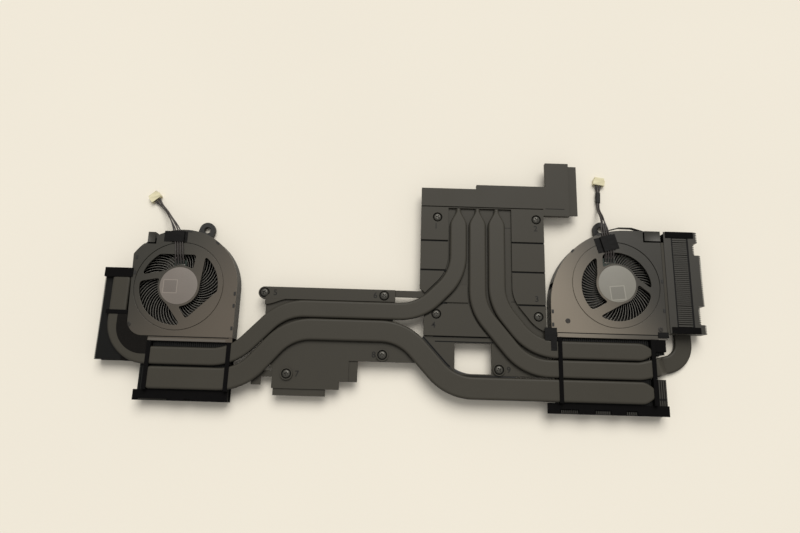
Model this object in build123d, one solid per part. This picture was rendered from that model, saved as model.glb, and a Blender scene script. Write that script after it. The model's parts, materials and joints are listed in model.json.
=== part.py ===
from build123d import *
import math
import os

# Laptop cooler: two blower fans and four flattened heat pipes that join a processor block and a graphics
# block to four fin stacks. Millimetres, +Z up. It lies on its fans and fins with its screws upwards.
# The drawing's zero lies under the arm between the two blocks, and the last lines move the finished part
# so that its origin is the middle of its footprint.

# Heights, from the surface that the cooler lies on
fin_height = 6.8
pipe_thickness = 2.2
plate_thickness = 1.6
rim_height = 1.2
contact_thickness = 1.0
tab_thickness = 0.9
foam_thickness = 0.4
film_thickness = 0.25

pipe_floor = fin_height
pipe_top = fin_height + pipe_thickness
plate_floor = pipe_floor - plate_thickness
frame_top = pipe_floor + rim_height
contact_floor = plate_floor - contact_thickness

# Heat pipes: one wide bridge pipe and three pipes of the common width
pipe_width = 9.4
bridge_width = 11.6
pipe_edge = 0.75
tip_length = 10.0
tip_profile = ((0.25, 0.93), (0.7, 0.42), (1.0, 0.28))
nose_length = 7.4
nose_profile = ((0.3, 0.9), (0.75, 0.55), (1.0, 0.32))
blunt_length = 3.0
blunt_profile = ((0.6, 0.92), (1.0, 0.72))
bend_radius = 26.0
side_bend_radius = 18.0
joggle_radius = 3.0
side_turn_radius = 11.5

# Lanes: where the pipes run side by side, given for the first pipe and the gap to the next
gpu_lane = 31.5
gpu_gap = 1.05
cpu_lane = -35.1
cpu_gap = 0.3
left_lane = -62.3
left_gap = 0.8
right_lane = -63.2
right_gap = 0.55

bridge_to_pipe = (bridge_width + pipe_width) / 2
gpu_middle_lane = gpu_lane + pipe_width + gpu_gap
gpu_right_lane = gpu_middle_lane + pipe_width + gpu_gap
cpu_inner_lane = cpu_lane + bridge_to_pipe + cpu_gap
left_inner_lane = left_lane + bridge_to_pipe + left_gap
right_middle_lane = right_lane + bridge_to_pipe + right_gap
right_inner_lane = right_middle_lane + pipe_width + right_gap

# Pipe ends and the corners between the lanes
pipe_tip_y = 34.0
left_side_end_inset = 5.0
right_side_end_inset = 8.0
left_rear_end_inset = 4.0
bridge_rear_end_inset = 6.7
right_rear_end_inset = 7.1
left_pipe_gpu_corner = -3.5
left_pipe_arm_corner = 11.0
left_pipe_cpu_corner = -61.0
left_pipe_rear_corner = -86.5
bridge_rear_corner = -81.0
bridge_cpu_corner = -57.4
bridge_arm_corner = 2.5
bridge_right_corner = 28.1
middle_pipe_gpu_corner = -21.2
middle_pipe_rear_corner = 67.4
right_pipe_gpu_corner = -18.5
right_pipe_rear_corner = 71.4
joggle_turn_inset = 13.9
joggle_start_inset = 5.1
joggle_run = 6.2
joggle_room = 0.5
joggle_turn_angle = 14.0

# Fin stacks
fin_pitch = 2.4
fin_thickness = 0.35
fin_skin = 0.4
fin_tip_reveal = 3.0
left_rear_fins_width = 47.0
left_rear_inset = 0.2
right_rear_fins_width = 56.9
right_rear_inset = 1.1
front_overhang = 5.8
left_back_margin = 2.8
right_back_margin = 2.0
left_side_fins_depth = 13.9
left_side_fins_length = 49.0
left_side_fins_past = 9.0
left_side_lane_inset = 4.2
right_side_fins_depth = 19.3
right_side_fins_length = 56.0

left_fins_front = left_lane - bridge_width / 2 - front_overhang
left_fins_back = left_inner_lane + pipe_width / 2 + left_back_margin
right_fins_front = right_lane - bridge_width / 2 - front_overhang
right_fins_back = right_inner_lane + pipe_width / 2 + right_back_margin

# Frames: the graphics block, the plate below it, the processor block and its clamp bar
gpu_left_column = 15.0
gpu_screw_inset = 9.0
gpu_screw_edge = 4.1
gpu_screw_y = -25.0
gpu_screw_span_x = 54.5
gpu_screw_span_y = 54.0
gpu_strip = 11.5
gpu_bottom = -36.5
gpu_step_x = 41.5
gpu_step_height = 2.5
gpu_notch = 2.5
gpu_notch_y = -13.5
gpu_tab_gap = 1.6
gpu_tab_width = 13.0
gpu_tab_height = 14.2
gpu_tab_bottom = 31.5
gpu_tab_step = 5.0
gpu_tab_step_inset = 1.0
channel_margin = 0.8
channel_ledge = 3.6
channel_end_room = 0.5
channel_bend = -9.0
groove_width = 0.9
groove_depth = 0.7
groove_ys = (15.5, -1.0, -19.0)
strip_groove_rise = 0.7
strip_groove_width = 0.5
arm_width = 3.5
vrm_left = 14.0
vrm_bottom = -56.6
vrm_window_left = 30.0
vrm_window_right = 49.4
vrm_window_top = -40.0
vrm_window_bar = 0.7
pipe_clearance = 1.0
cpu_left = -71.0
cpu_right = -3.0
cpu_block_left = -65.0
cpu_block_right = -30.0
cpu_block_bottom = -66.0
cpu_arm_right = 10.0
cpu_arm_bottom = -51.0
cpu_step_right = -25.3
cpu_step_bottom = -61.8
cpu_front_tab = 3.6
cpu_front_tab_insets = (0.8, 7.0)
cpu_right_tab = 4.6
cpu_left_tab = 10.8
cpu_left_tab_width = 5.0
cpu_left_tab_rise = (1.6, 5.8, 9.0)
cpu_contact_left = -53.0
cpu_contact_right = -13.0
cpu_contact_margin = 4.0
bar_left = -72.0
bar_right = -2.0
bar_width = 6.6
bar_thickness = 1.2
bar_gap = 0.2
contact_inset = 1.0
pad_length = 10.0
pad_screw_room = 1.3

bar_y = cpu_inner_lane + pipe_width / 2 + bar_gap + bar_width / 2
channel_left = gpu_lane - pipe_width / 2 - channel_margin
channel_right = gpu_right_lane + pipe_width / 2 + channel_ledge
channel_top = pipe_tip_y + channel_end_room
gpu_left = channel_left - gpu_left_column
gpu_right = gpu_left + gpu_screw_inset + gpu_screw_span_x + gpu_screw_edge
gpu_top = channel_top + gpu_strip
gpu_step_y = gpu_top + gpu_step_height
gpu_notch_x = gpu_left + gpu_notch
gpu_tab_left = gpu_right + gpu_tab_gap
gpu_tab_right = gpu_tab_left + gpu_tab_width
gpu_tab_top = gpu_step_y + gpu_tab_height

# Fans: shared sizes, then the outline of each
fan_sheet = 0.8
fan_floor_sheet = 0.6
fan_wall = 0.9
outlet_lip = 2.5
outlet_lip_drop = 0.25
side_outlet_gap = 1.7
hub_plate_radius = 11.2
opening_radius = 21.0
spoke_offset = 8.8
spoke_width = 4.4
inlet_radius = 20.0
label_radius = 10.1
label_thickness = 0.12
rim_block_gap = 0.8
left_fan_x = -118.0
left_fan_y = -14.0
left_fan_radius = 31.2
left_fan_reach = 24.9
left_fan_corner = 8.5
right_fan_gap = 2.4
right_fan_y = -6.0
right_fan_left_reach = 36.0
right_fan_right_reach = 25.0
right_fan_top_reach = 30.0
right_fan_corner = 42.0
left_spokes = (84, 195, 315)
right_spokes = (97, 201, 320)
left_chords = (90, -45)
chord_distance = 17.4

left_fan_left = left_fan_x - left_fan_reach
left_fan_right = left_fan_x + left_fan_radius
left_fan_rear = left_fins_back + outlet_lip
right_fan_left = gpu_right + right_fan_gap
right_fan_x = right_fan_left + right_fan_left_reach
right_fan_right = right_fan_x + right_fan_right_reach
right_fan_top = right_fan_y + right_fan_top_reach
right_fan_rear = right_fins_back + outlet_lip
fan_top = pipe_top
cover_floor = fan_top - fan_sheet

left_rear_fins_right = left_fan_right - left_rear_inset
left_rear_fins_left = left_rear_fins_right - left_rear_fins_width
right_rear_fins_right = right_fan_right - right_rear_inset
right_rear_fins_left = right_rear_fins_right - right_rear_fins_width
left_side_fins_inner = left_fan_left - side_outlet_gap
left_side_fins_outer = left_side_fins_inner - left_side_fins_depth
left_side_fins_back = left_fan_y + left_side_fins_past
left_side_fins_front = left_side_fins_back - left_side_fins_length
right_side_fins_inner = right_fan_right + side_outlet_gap
right_side_fins_outer = right_side_fins_inner + right_side_fins_depth
right_side_fins_back = right_fan_top
right_side_fins_front = right_side_fins_back - right_side_fins_length
left_side_lane = left_side_fins_inner - left_side_lane_inset
right_side_lane = (right_side_fins_inner + right_side_fins_outer) / 2

# Fan lugs and rim blocks, from each fan's centre
lug_radius = 4.4
lug_hole_radius = 1.7
lug_thickness = 2.4
lug_reach = 3.4
left_lug_angle = 73.4
right_lug_shift = -5.0
right_lug_rise = 2.0
left_block_reach = (-19.6, -15.6)
left_block_rise = (23.6, 29.4)
right_block_width = 8.6
right_block_depth = 5.6

# Motors: an impeller with its cup facing up, hung from a bearing under the cover's hub plate
impeller_floor = 1.1
impeller_height = 5.6
impeller_radius = 23.0
cup_radius = 10.6
cup_wall = 0.9
cup_floor = 0.9
blade_thickness = 0.42
left_blade_count = 59
right_blade_count = 67
left_blade_sweep = 34.0
right_blade_sweep = -22.0
blade_waist_sweep = 0.38
shaft_radius = 0.75
shaft_clearance = 0.03
shaft_end_play = 0.1
bearing_radius = 2.2
bearing_clearance_below = 0.5
magnet_thickness = 1.1
magnet_clearance = 0.05
air_gap = 0.4
stator_bore_clearance = 0.02
stator_slots = 6
stator_slot_width = 1.6
board_thickness = 0.5
board_rise = 0.4
board_tab_width = 6.6
board_tab_reach = 14.2
left_board_tab = -0.8
right_board_tab = -3.4
hub_sides = 24
label_sides = 36
fan_sides = 60

impeller_top = impeller_floor + impeller_height
magnet_outer = cup_radius - cup_wall - magnet_clearance
magnet_inner = magnet_outer - magnet_thickness
stator_radius = magnet_inner - air_gap
board_floor = impeller_top + board_rise
board_top = board_floor + board_thickness

# Captive screws
screw_head_radius = 2.15
screw_head_height = 1.6
screw_radius = 1.0
screw_neck_radius = 0.8
screw_thread_gap = 0.1
screw_thread_length = 2.7
screw_recess_radius = 2.65
screw_hole_clearance = 0.15
screw_boss_radius = 3.3
screw_boss_height = 1.0
screw_sides = 12
screw_seat_depth = 0.2
bar_seat_rise = 0.4
cpu_screws = [(-57.5, -58.5), (-8.0, -47.5)]
vrm_screw = (53.2, -53.4)
bar_screw_inset = 6.0

screw_seat = pipe_floor - screw_seat_depth
bar_seat = pipe_floor + bar_seat_rise
gpu_screws = [
    (gpu_left + gpu_screw_inset + gpu_screw_span_x * i, gpu_screw_y + gpu_screw_span_y * j)
    for i in (0, 1)
    for j in (0, 1)
]
bar_screws = [(bar_left, bar_y), (bar_right - bar_screw_inset, bar_y)]

# Foam strips, seals and films
strap_width = 2.2
left_strap_inset = 3.0
right_strap_inset = 5.9
side_strap_shift = -16.0
side_strap_inset = 3.8
side_strap_end = 0.1
side_cover_inset = 0.4
gasket_margin = 0.4
left_gasket_overhangs = (2.0, 0.0)
right_gasket_overhangs = (6.0, 0.2)
left_gasket_windows = [(0.6, 16.0, 1.0), (25.0, 28.0, 1.0)]
right_gasket_windows = [(0.6, 10.2, 2.4), (18.5, 26.9, 2.4), (34.4, 40.6, 2.4)]
side_cap_length = 3.5
side_cap_inset = 1.0
seal_wall = 0.8
seal_cover_inset = 0.6
seal_cover_round = 15.0
corner_patch_depth = 6.3
corner_patch_drop = 0.4
corner_tape_overlap = 1.5
corner_tape_gap = 0.2
left_corner_tape = (3.8, 2.7)
left_corner_rise = (4.4, 2.3)
left_corner_leg = (0.6, 2.5, 5.3)
right_corner_tape = (5.0, 0.6)
film_reach = (-4.0, 17.0)
film_bow = 2.0
film_height = 3.0

# Fan wires, tapes and plugs
wire_diameter = 0.75
wire_lift = 0.12
tape_thickness = 0.2
tape_tunnel_width = 6.4
left_tape_size = (12.6, 6.0)
right_tape_size = (12.0, 8.5)
left_tape_shift = (-4.4, 27.2)
left_tape_angle = 0.0
left_tunnel_shift = 1.4
right_tape_shift = (-4.6, 22.2)
right_tape_angle = 16.0
right_tunnel_shift = 0.6
plug_width = 6.4
plug_length = 4.4
plug_height = 2.2
plug_pitch = 1.25
plug_shoulder = 3.1
plug_step = 0.5
plug_contact = (0.5, 0.8, 0.5)
wire_insert = 0.6
bundle_pitch = 0.84
sleeve_wall = 0.3
sleeve_length = 6.0
sleeve_clearance = 0.05
sleeve_sides = 8

wire_radius = wire_diameter / 2
wire_on_board = board_top + wire_radius + wire_lift
wire_on_cover = fan_top + wire_radius + wire_lift
wire_on_table = plug_height / 2


def slab(outline, low, high):
    """A flat outline raised from one height to another."""
    return Pos(0, 0, low) * extrude(outline, high - low, dir=(0, 0, 1))


def block(low, high):
    """A box from its lowest to its highest corner."""
    size = [b - a for a, b in zip(low, high)]
    return Pos(*low) * Box(*size, align=(Align.MIN, Align.MIN, Align.MIN))


def rectangle(x0, x1, y0, y1):
    return Pos((x0 + x1) / 2, (y0 + y1) / 2) * Rectangle(x1 - x0, y1 - y0)


def plate_outline(*corners):
    """A flat outline from its corners, taken anticlockwise."""
    return Polygon(*corners, align=None)


def polar(radius, degrees):
    return radius * math.cos(math.radians(degrees)), radius * math.sin(math.radians(degrees))


def disc(place, radius, low, high):
    return Pos(*place, low) * Cylinder(radius, high - low, align=(Align.CENTER, Align.CENTER, Align.MIN))


def ring_round(radius, sides):
    """A round drawn with flat sides."""
    return RegularPolygon(radius, sides, major_radius=True)


def prism(place, radius, sides, low, high):
    """A post on such a round."""
    return slab(Pos(*place) * ring_round(radius, sides), low, high)


def swept(section, path):
    """A section carried along a path with its own up direction kept upright."""
    along = path % 0
    start = Plane(path @ 0, x_dir=Vector(0, 0, 1).cross(along), z_dir=along)
    return sweep(start * section, path=path)


def group(pieces):
    return Compound(pieces)


# Heat pipes


def flat_section(width):
    """The section of a flattened tube: two flats, and pressed sides that come to a blunt edge."""
    side, half = width / 2, pipe_thickness / 2
    flat = side - pipe_edge
    return plate_outline((-flat, -half), (flat, -half), (side, 0), (flat, half), (-flat, half), (-side, 0))


def pressed_end(place, outward, width, length, profile):
    """A pressed end. Each step of its profile is a share of its length and the share of the width left there."""
    upright = Vector(0, 0, 1).cross(outward)
    sections = [Plane(place, x_dir=upright, z_dir=outward) * flat_section(width)]
    for along, share in profile:
        plane = Plane(place + outward * length * along, x_dir=upright, z_dir=outward)
        sections.append(plane * flat_section(width * share))
    return loft(sections, ruled=True)


def heat_pipe(route, radii, width, first_end, last_end):
    """A flattened pipe along a route of corners. Each end is a length and the profile that it narrows by."""
    corners = [Vector(*p) for p in route]
    first_out = (corners[0] - corners[1]).normalized()
    last_out = (corners[-1] - corners[-2]).normalized()
    corners[0] = corners[0] - first_out * first_end[0]
    corners[-1] = corners[-1] - last_out * last_end[0]
    body = swept(flat_section(width), FilletPolyline(*corners, radius=radii))
    body += pressed_end(corners[0], first_out, width, *first_end)
    return body + pressed_end(corners[-1], last_out, width, *last_end)


def at_height(points, z):
    return [(x, y, z) for x, y in points]


upper_level = pipe_floor + pipe_thickness / 2
lower_level = pipe_thickness / 2
long_tip = (tip_length, tip_profile)
nose_end = (nose_length, nose_profile)
blunt_end = (blunt_length, blunt_profile)

joggle_turn_x = right_rear_fins_right - joggle_turn_inset
joggle_start_x = right_rear_fins_right - joggle_start_inset
joggle_end_x = joggle_start_x + joggle_run
left_pipe_route = [
    (gpu_lane, pipe_tip_y),
    (gpu_lane, left_pipe_gpu_corner),
    (left_pipe_arm_corner, cpu_inner_lane),
    (left_pipe_cpu_corner, cpu_inner_lane),
    (left_pipe_rear_corner, left_inner_lane),
    (left_side_lane, left_inner_lane),
    (left_side_lane, left_side_fins_back - left_side_end_inset),
]
bridge_route = [
    (left_rear_fins_left + left_rear_end_inset, left_lane),
    (bridge_rear_corner, left_lane),
    (bridge_cpu_corner, cpu_lane),
    (bridge_arm_corner, cpu_lane),
    (bridge_right_corner, right_lane),
    (right_rear_fins_right - bridge_rear_end_inset, right_lane),
]
right_pipe_route = [
    (gpu_right_lane, pipe_tip_y),
    (gpu_right_lane, right_pipe_gpu_corner),
    (right_pipe_rear_corner, right_inner_lane),
    (right_rear_fins_right - right_rear_end_inset, right_inner_lane),
]

joggle_rise = math.tan(math.radians(joggle_turn_angle))
joggle_start_y = right_middle_lane + (joggle_start_x - joggle_turn_x) * joggle_rise
joggle_end_y = right_middle_lane + (joggle_end_x - joggle_turn_x) * joggle_rise
side_turn_y = right_middle_lane + (right_side_lane - joggle_turn_x) * joggle_rise
middle_pipe_route = at_height(
    [
        (gpu_middle_lane, pipe_tip_y),
        (gpu_middle_lane, middle_pipe_gpu_corner),
        (middle_pipe_rear_corner, right_middle_lane),
        (joggle_turn_x, right_middle_lane),
        (joggle_start_x, joggle_start_y),
    ],
    upper_level,
) + at_height(
    [
        (joggle_end_x, joggle_end_y),
        (right_side_lane, side_turn_y),
        (right_side_lane, right_side_fins_back - right_side_end_inset),
    ],
    lower_level,
)

left_pipe = heat_pipe(
    at_height(left_pipe_route, upper_level), [bend_radius] * 4 + [side_bend_radius], pipe_width, long_tip, blunt_end
)
bridge_pipe = heat_pipe(at_height(bridge_route, upper_level), [bend_radius] * 4, bridge_width, blunt_end, nose_end)
middle_pipe = heat_pipe(
    middle_pipe_route,
    [bend_radius] * 2 + [side_bend_radius] + [joggle_radius] * 2 + [side_turn_radius],
    pipe_width,
    long_tip,
    blunt_end,
)
right_pipe = heat_pipe(at_height(right_pipe_route, upper_level), [bend_radius] * 2, pipe_width, long_tip, nose_end)
pipes = [left_pipe, bridge_pipe, middle_pipe, right_pipe]


# Fin stacks


def fin_stack(low, high, flow, outlet):
    """A soldered stack with a channel between each two fins. Its top skin stops short of the outlet."""
    across = 1 - flow
    count = int((high[across] - low[across] - fin_thickness) / fin_pitch)
    step = (high[across] - low[across] - fin_thickness) / count
    channels = []
    for i in range(count):
        near, far = list(low), list(high)
        near[across] = low[across] + fin_thickness + i * step
        far[across] = near[across] + step - fin_thickness
        near[2] += fin_skin
        far[2] -= fin_skin
        channels.append(block(near, far))
    near, far = list(low), list(high)
    near[2] = high[2] - fin_skin
    if outlet < 0:
        far[flow] = low[flow] + fin_tip_reveal
    else:
        near[flow] = high[flow] - fin_tip_reveal
    return block(low, high) - channels - block(near, far)


along_x, along_y = 0, 1
left_rear_fins = fin_stack(
    (left_rear_fins_left, left_fins_front, 0), (left_rear_fins_right, left_fins_back, fin_height), along_y, -1
)
right_rear_fins = fin_stack(
    (right_rear_fins_left, right_fins_front, 0), (right_rear_fins_right, right_fins_back, fin_height), along_y, -1
)
notch_left = joggle_start_x - joggle_radius
notch_half = pipe_width / 2 / math.cos(math.radians(joggle_turn_angle)) + joggle_room
notch_front = right_middle_lane + (notch_left - joggle_turn_x) * joggle_rise - notch_half
notch_back = right_middle_lane + (right_rear_fins_right - joggle_turn_x) * joggle_rise + notch_half
right_rear_fins -= block((notch_left, notch_front, 0), (right_rear_fins_right, notch_back, fin_height))
left_side_fins = fin_stack(
    (left_side_fins_outer, left_side_fins_front, 0),
    (left_side_fins_inner, left_side_fins_back, fin_height),
    along_x,
    -1,
)
right_side_fins = fin_stack(
    (right_side_fins_inner, right_side_fins_front, pipe_thickness),
    (right_side_fins_outer, right_side_fins_back, fan_top),
    along_x,
    1,
)


# Fans


def spoked_openings(place, spokes, side, chords=()):
    """The air openings between the hub plate and the rim, divided by three spokes that miss the centre."""
    ring = ring_round(opening_radius, fan_sides) - ring_round(hub_plate_radius, fan_sides)
    reach = 2 * opening_radius
    for angle in chords:
        ring -= Rot(0, 0, angle) * Pos(chord_distance + reach / 2, 0) * Rectangle(reach, reach)
    for angle in spokes:
        ring -= Rot(0, 0, angle) * Pos(reach / 2, side * spoke_offset) * Rectangle(reach, spoke_width)
    return Pos(*place) * ring


def lug_outline(lug, place):
    """A rounded ear that runs in towards the fan's centre."""
    angle = math.degrees(math.atan2(place[1] - lug[1], place[0] - lug[0]))
    ear = Circle(lug_radius) + Pos(lug_radius, 0) * Rectangle(2 * lug_radius, 2 * lug_radius)
    return Pos(*lug) * Rot(0, 0, angle) * ear


def fan_ear(lug, place, outline):
    """The screw ear on the fan's rim, moulded with the tray and kept apart from it here."""
    return slab(lug_outline(lug, place) - outline, 0, lug_thickness) - disc(lug, lug_hole_radius, 0, lug_thickness)


def fan_base(outline, outlets, ground, place, rim_block):
    """The fan's tray: a floor with an inlet, a wall round the closed sides and a block at the rim."""
    wall = outline - offset(outline, -fan_wall) - outlets
    tray = slab(ground - Pos(*place) * ring_round(inlet_radius, fan_sides), 0, fan_floor_sheet)
    tray += slab(wall, fan_floor_sheet, cover_floor)
    return tray + slab(rim_block, fan_floor_sheet, fan_top)


def fan_cover(outline, openings, lip, notch):
    """The fan's sheet cover: openings, spokes and hub plate, with a lip over the outlet set a little lower."""
    cover = slab(outline - openings - notch, cover_floor, fan_top)
    return cover + slab(lip, cover_floor, fan_top - outlet_lip_drop)


def impeller(place, count, stations):
    """A cup with thin swept blades round it. Each station is a radius and the blade's sweep there."""
    edges = []
    for side in (1, -1):
        half = [math.degrees(blade_thickness / 2 / r) * side for r, _ in stations]
        edges.append([polar(r, a + h) for (r, a), h in zip(stations, half)])
    blade = plate_outline(*edges[1], *reversed(edges[0]))
    plan = ring_round(cup_radius, count) + [Rot(0, 0, 360 / count * i) * blade for i in range(count)]
    wheel = slab(plan, impeller_floor, impeller_top)
    wheel -= prism((0, 0), cup_radius - cup_wall, hub_sides, impeller_floor + cup_floor, impeller_top)
    return Pos(*place) * (wheel - disc((0, 0), shaft_radius, impeller_floor, impeller_top))


def motor(place, tab_x):
    """The shaft and magnet that turn, and the bearing, stator and board that hang from the cover."""
    cup_inside = impeller_floor + cup_floor
    bearing_floor = cup_inside + bearing_clearance_below
    shaft = disc(place, shaft_radius, impeller_floor, cover_floor - shaft_end_play)
    magnet = prism(place, magnet_outer, hub_sides, cup_inside, impeller_top)
    magnet -= prism(place, magnet_inner, hub_sides, cup_inside, impeller_top)
    bearing = prism(place, bearing_radius, screw_sides, bearing_floor, cover_floor)
    bearing -= disc(place, shaft_radius + shaft_clearance, bearing_floor, cover_floor)
    plan = ring_round(stator_radius, 2 * stator_slots)
    slot_depth = stator_radius - 2 * bearing_radius + stator_slot_width
    for i in range(stator_slots):
        plan -= Rot(0, 0, 360 / stator_slots * i) * Pos(stator_radius, 0) * Rectangle(slot_depth, stator_slot_width)
    bore = ring_round(bearing_radius + stator_bore_clearance, screw_sides)
    stator = Pos(*place) * slab(plan - bore, cup_inside + 2 * bearing_clearance_below, board_floor)
    sheet = ring_round(cup_radius, hub_sides)
    sheet += rectangle(tab_x - board_tab_width / 2, tab_x + board_tab_width / 2, 0, board_tab_reach)
    board = Pos(*place) * slab(sheet - bore, board_floor, board_top)
    return shaft, magnet, bearing, stator, board


left_place = (left_fan_x, left_fan_y)
left_hull = Pos(*left_place) * ring_round(left_fan_radius, fan_sides)
left_hull += rectangle(left_fan_left, left_fan_right, left_fan_rear, left_fan_y)
left_hull &= rectangle(left_fan_left, left_fan_right, left_fan_rear, left_fan_y + left_fan_radius)
left_corner = left_hull.vertices().group_by(Axis.Y)[0].sort_by(Axis.X)[0]
left_outline = fillet(left_corner, left_fan_corner)
left_mouth = left_fan_left + left_fan_corner
past = fan_wall
left_outlets = rectangle(left_mouth, left_fan_right - fan_wall, left_fan_rear - past, left_fan_y)
left_outlets += rectangle(
    left_fan_left - past, left_fan_x, left_fan_rear + left_fan_corner, left_fan_y + left_fan_corner
)
left_ground = left_outline + rectangle(left_mouth, left_fan_right, left_fins_back, left_fan_rear)
left_ground += rectangle(
    left_side_fins_inner, left_fan_left, left_fan_rear + left_fan_corner, left_fan_y + left_fan_corner
)
left_block_x = [left_fan_x + reach for reach in left_block_reach]
left_block_y = [left_fan_y + rise for rise in left_block_rise]
left_rim_block = rectangle(*left_block_x, *left_block_y)
left_rim_notch = rectangle(
    left_fan_left, left_block_x[1] + rim_block_gap, left_block_y[0] - rim_block_gap, left_fan_y + left_fan_radius
)
left_lug_x, left_lug_y = polar(left_fan_radius + lug_reach, left_lug_angle)
left_lug = (left_fan_x + left_lug_x, left_fan_y + left_lug_y)

right_place = (right_fan_x, right_fan_y)
right_hull = rectangle(right_fan_left, right_fan_right, right_fan_rear, right_fan_top)
right_outline = fillet(right_hull.vertices().group_by(Axis.Y)[-1].sort_by(Axis.X)[0], right_fan_corner)
right_outlets = rectangle(right_fan_left + fan_wall, right_fan_right + past, right_fan_rear - past, right_fan_y)
right_outlets += rectangle(right_fan_x, right_fan_right + past, right_fan_rear - past, right_fan_top - 2 * fan_wall)
right_ground = right_outline + rectangle(right_rear_fins_left, right_fan_right, right_fins_back, right_fan_rear)
right_ground += rectangle(right_fan_right, right_side_fins_inner, right_fan_rear, right_fan_top)
right_block_left = right_fan_right - right_block_width
right_block_front = right_fan_top - right_block_depth
right_rim_block = rectangle(right_block_left, right_fan_right, right_block_front, right_fan_top)
right_rim_notch = rectangle(
    right_block_left - rim_block_gap, right_fan_right, right_block_front - rim_block_gap, right_fan_top
)
right_lug = (right_fan_x + right_lug_shift, right_fan_top + right_lug_rise)

left_fan_base = fan_base(left_outline, left_outlets, left_ground, left_place, left_rim_block)
right_fan_base = fan_base(right_outline, right_outlets, right_ground, right_place, right_rim_block)
left_fan_ear = fan_ear(left_lug, left_place, left_outline)
right_fan_ear = fan_ear(right_lug, right_place, right_outline)
left_fan_cover = fan_cover(
    left_outline,
    spoked_openings(left_place, left_spokes, -1, left_chords),
    rectangle(left_mouth, left_fan_right, left_fins_back, left_fan_rear),
    left_rim_notch,
)
right_fan_cover = fan_cover(
    right_outline,
    spoked_openings(right_place, right_spokes, 1),
    rectangle(right_rear_fins_left, right_fan_right, right_fins_back, right_fan_rear),
    right_rim_notch,
)
blade_root = cup_radius - cup_wall / 2
blade_waist = (blade_root + impeller_radius) / 2
left_blade = [(blade_root, 0), (blade_waist, blade_waist_sweep * left_blade_sweep), (impeller_radius, left_blade_sweep)]
right_blade = [(blade_root, 0), (impeller_radius, right_blade_sweep)]
left_impeller = impeller(left_place, left_blade_count, left_blade)
right_impeller = impeller(right_place, right_blade_count, right_blade)
left_shaft, left_magnet, left_bearing, left_stator, left_board = motor(left_place, left_board_tab)
right_shaft, right_magnet, right_bearing, right_stator, right_board = motor(right_place, right_board_tab)
left_label = prism(left_place, label_radius, label_sides, fan_top, fan_top + label_thickness)
right_label = prism(right_place, label_radius, label_sides, fan_top, fan_top + label_thickness)


# Frames and plates


def screw_pocket(place, seat, top):
    """The recess for a screw's head and the hole for its shank."""
    hole = prism(place, screw_neck_radius + screw_hole_clearance, screw_sides, contact_floor, seat)
    return hole + prism(place, screw_recess_radius, screw_sides, seat, top)


def bossed(plate, places):
    """A thin plate with a raised ring round each screw."""
    boss_top = pipe_floor + screw_boss_height
    for place in places:
        plate += prism(place, screw_boss_radius, screw_sides, plate_floor, boss_top)
    return plate - [screw_pocket(place, screw_seat, boss_top) for place in places]


def pipe_channel(route, radii, half_width):
    """Room over the channel floor along a pipe."""
    path = FilletPolyline(*at_height(route, pipe_floor + pipe_thickness / 2), radius=radii)
    return swept(Rectangle(2 * half_width, pipe_thickness), path)


gpu_outline = plate_outline(
    (gpu_left, gpu_notch_y + gpu_notch_x - gpu_left),
    (gpu_notch_x, gpu_notch_y),
    (gpu_notch_x, gpu_bottom),
    (gpu_right, gpu_bottom),
    (gpu_right, gpu_tab_bottom),
    (gpu_tab_right, gpu_tab_bottom),
    (gpu_tab_right, gpu_tab_top),
    (gpu_tab_left, gpu_tab_top),
    (gpu_tab_left, gpu_step_y),
    (gpu_step_x, gpu_step_y),
    (gpu_step_x, gpu_top),
    (gpu_left, gpu_top),
)
gpu_frame = slab(gpu_outline, plate_floor, frame_top)
gpu_frame += block(
    (gpu_tab_right, gpu_tab_bottom + gpu_tab_step_inset, plate_floor),
    (gpu_tab_right + gpu_tab_step, gpu_tab_top - gpu_tab_step_inset, plate_floor + tab_thickness),
)
arm_top = bar_y + bar_width / 2
gpu_frame += block((bar_right, arm_top - arm_width, plate_floor), (gpu_notch_x, arm_top, pipe_floor))
channel = block((channel_left, channel_bend, pipe_floor), (channel_right, channel_top, pipe_top))
channel += pipe_channel(left_pipe_route[:4], [bend_radius] * 2, pipe_width / 2 + channel_margin)
channel += pipe_channel(right_pipe_route, [bend_radius] * 2, pipe_width / 2 + channel_ledge)
channel += pipe_channel(
    [p[:2] for p in middle_pipe_route[:4]], [bend_radius] * 2, pipe_width / 2 + channel_margin
)
groove_lines = [(y, groove_width) for y in groove_ys] + [(channel_top + strip_groove_rise, strip_groove_width)]
grooves = [
    block((gpu_left, y - width / 2, frame_top - groove_depth), (gpu_right, y + width / 2, frame_top))
    for y, width in groove_lines
]
gpu_frame = gpu_frame - channel - grooves - [screw_pocket(place, screw_seat, frame_top) for place in gpu_screws]

bridge_edge = bridge_width / 2 + pipe_clearance
bridge_slope = Vector(bridge_right_corner - bridge_arm_corner, right_lane - cpu_lane).normalized()
bridge_side = Vector(-bridge_slope.Y, bridge_slope.X) * bridge_edge
edge_start = Vector(bridge_arm_corner, cpu_lane) + bridge_side
edge_left_y = edge_start.Y + (vrm_left - edge_start.X) * bridge_slope.Y / bridge_slope.X
edge_bottom_x = edge_start.X + (vrm_bottom - edge_start.Y) * bridge_slope.X / bridge_slope.Y
vrm_outline = plate_outline(
    (vrm_left, edge_left_y),
    (edge_bottom_x, vrm_bottom),
    (gpu_right, vrm_bottom),
    (gpu_right, gpu_bottom),
    (vrm_left, gpu_bottom),
)
vrm_outline -= rectangle(vrm_window_left, vrm_window_right, vrm_bottom + vrm_window_bar, vrm_window_top)
vrm_plate = bossed(slab(vrm_outline, plate_floor, pipe_floor), [vrm_screw])

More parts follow.
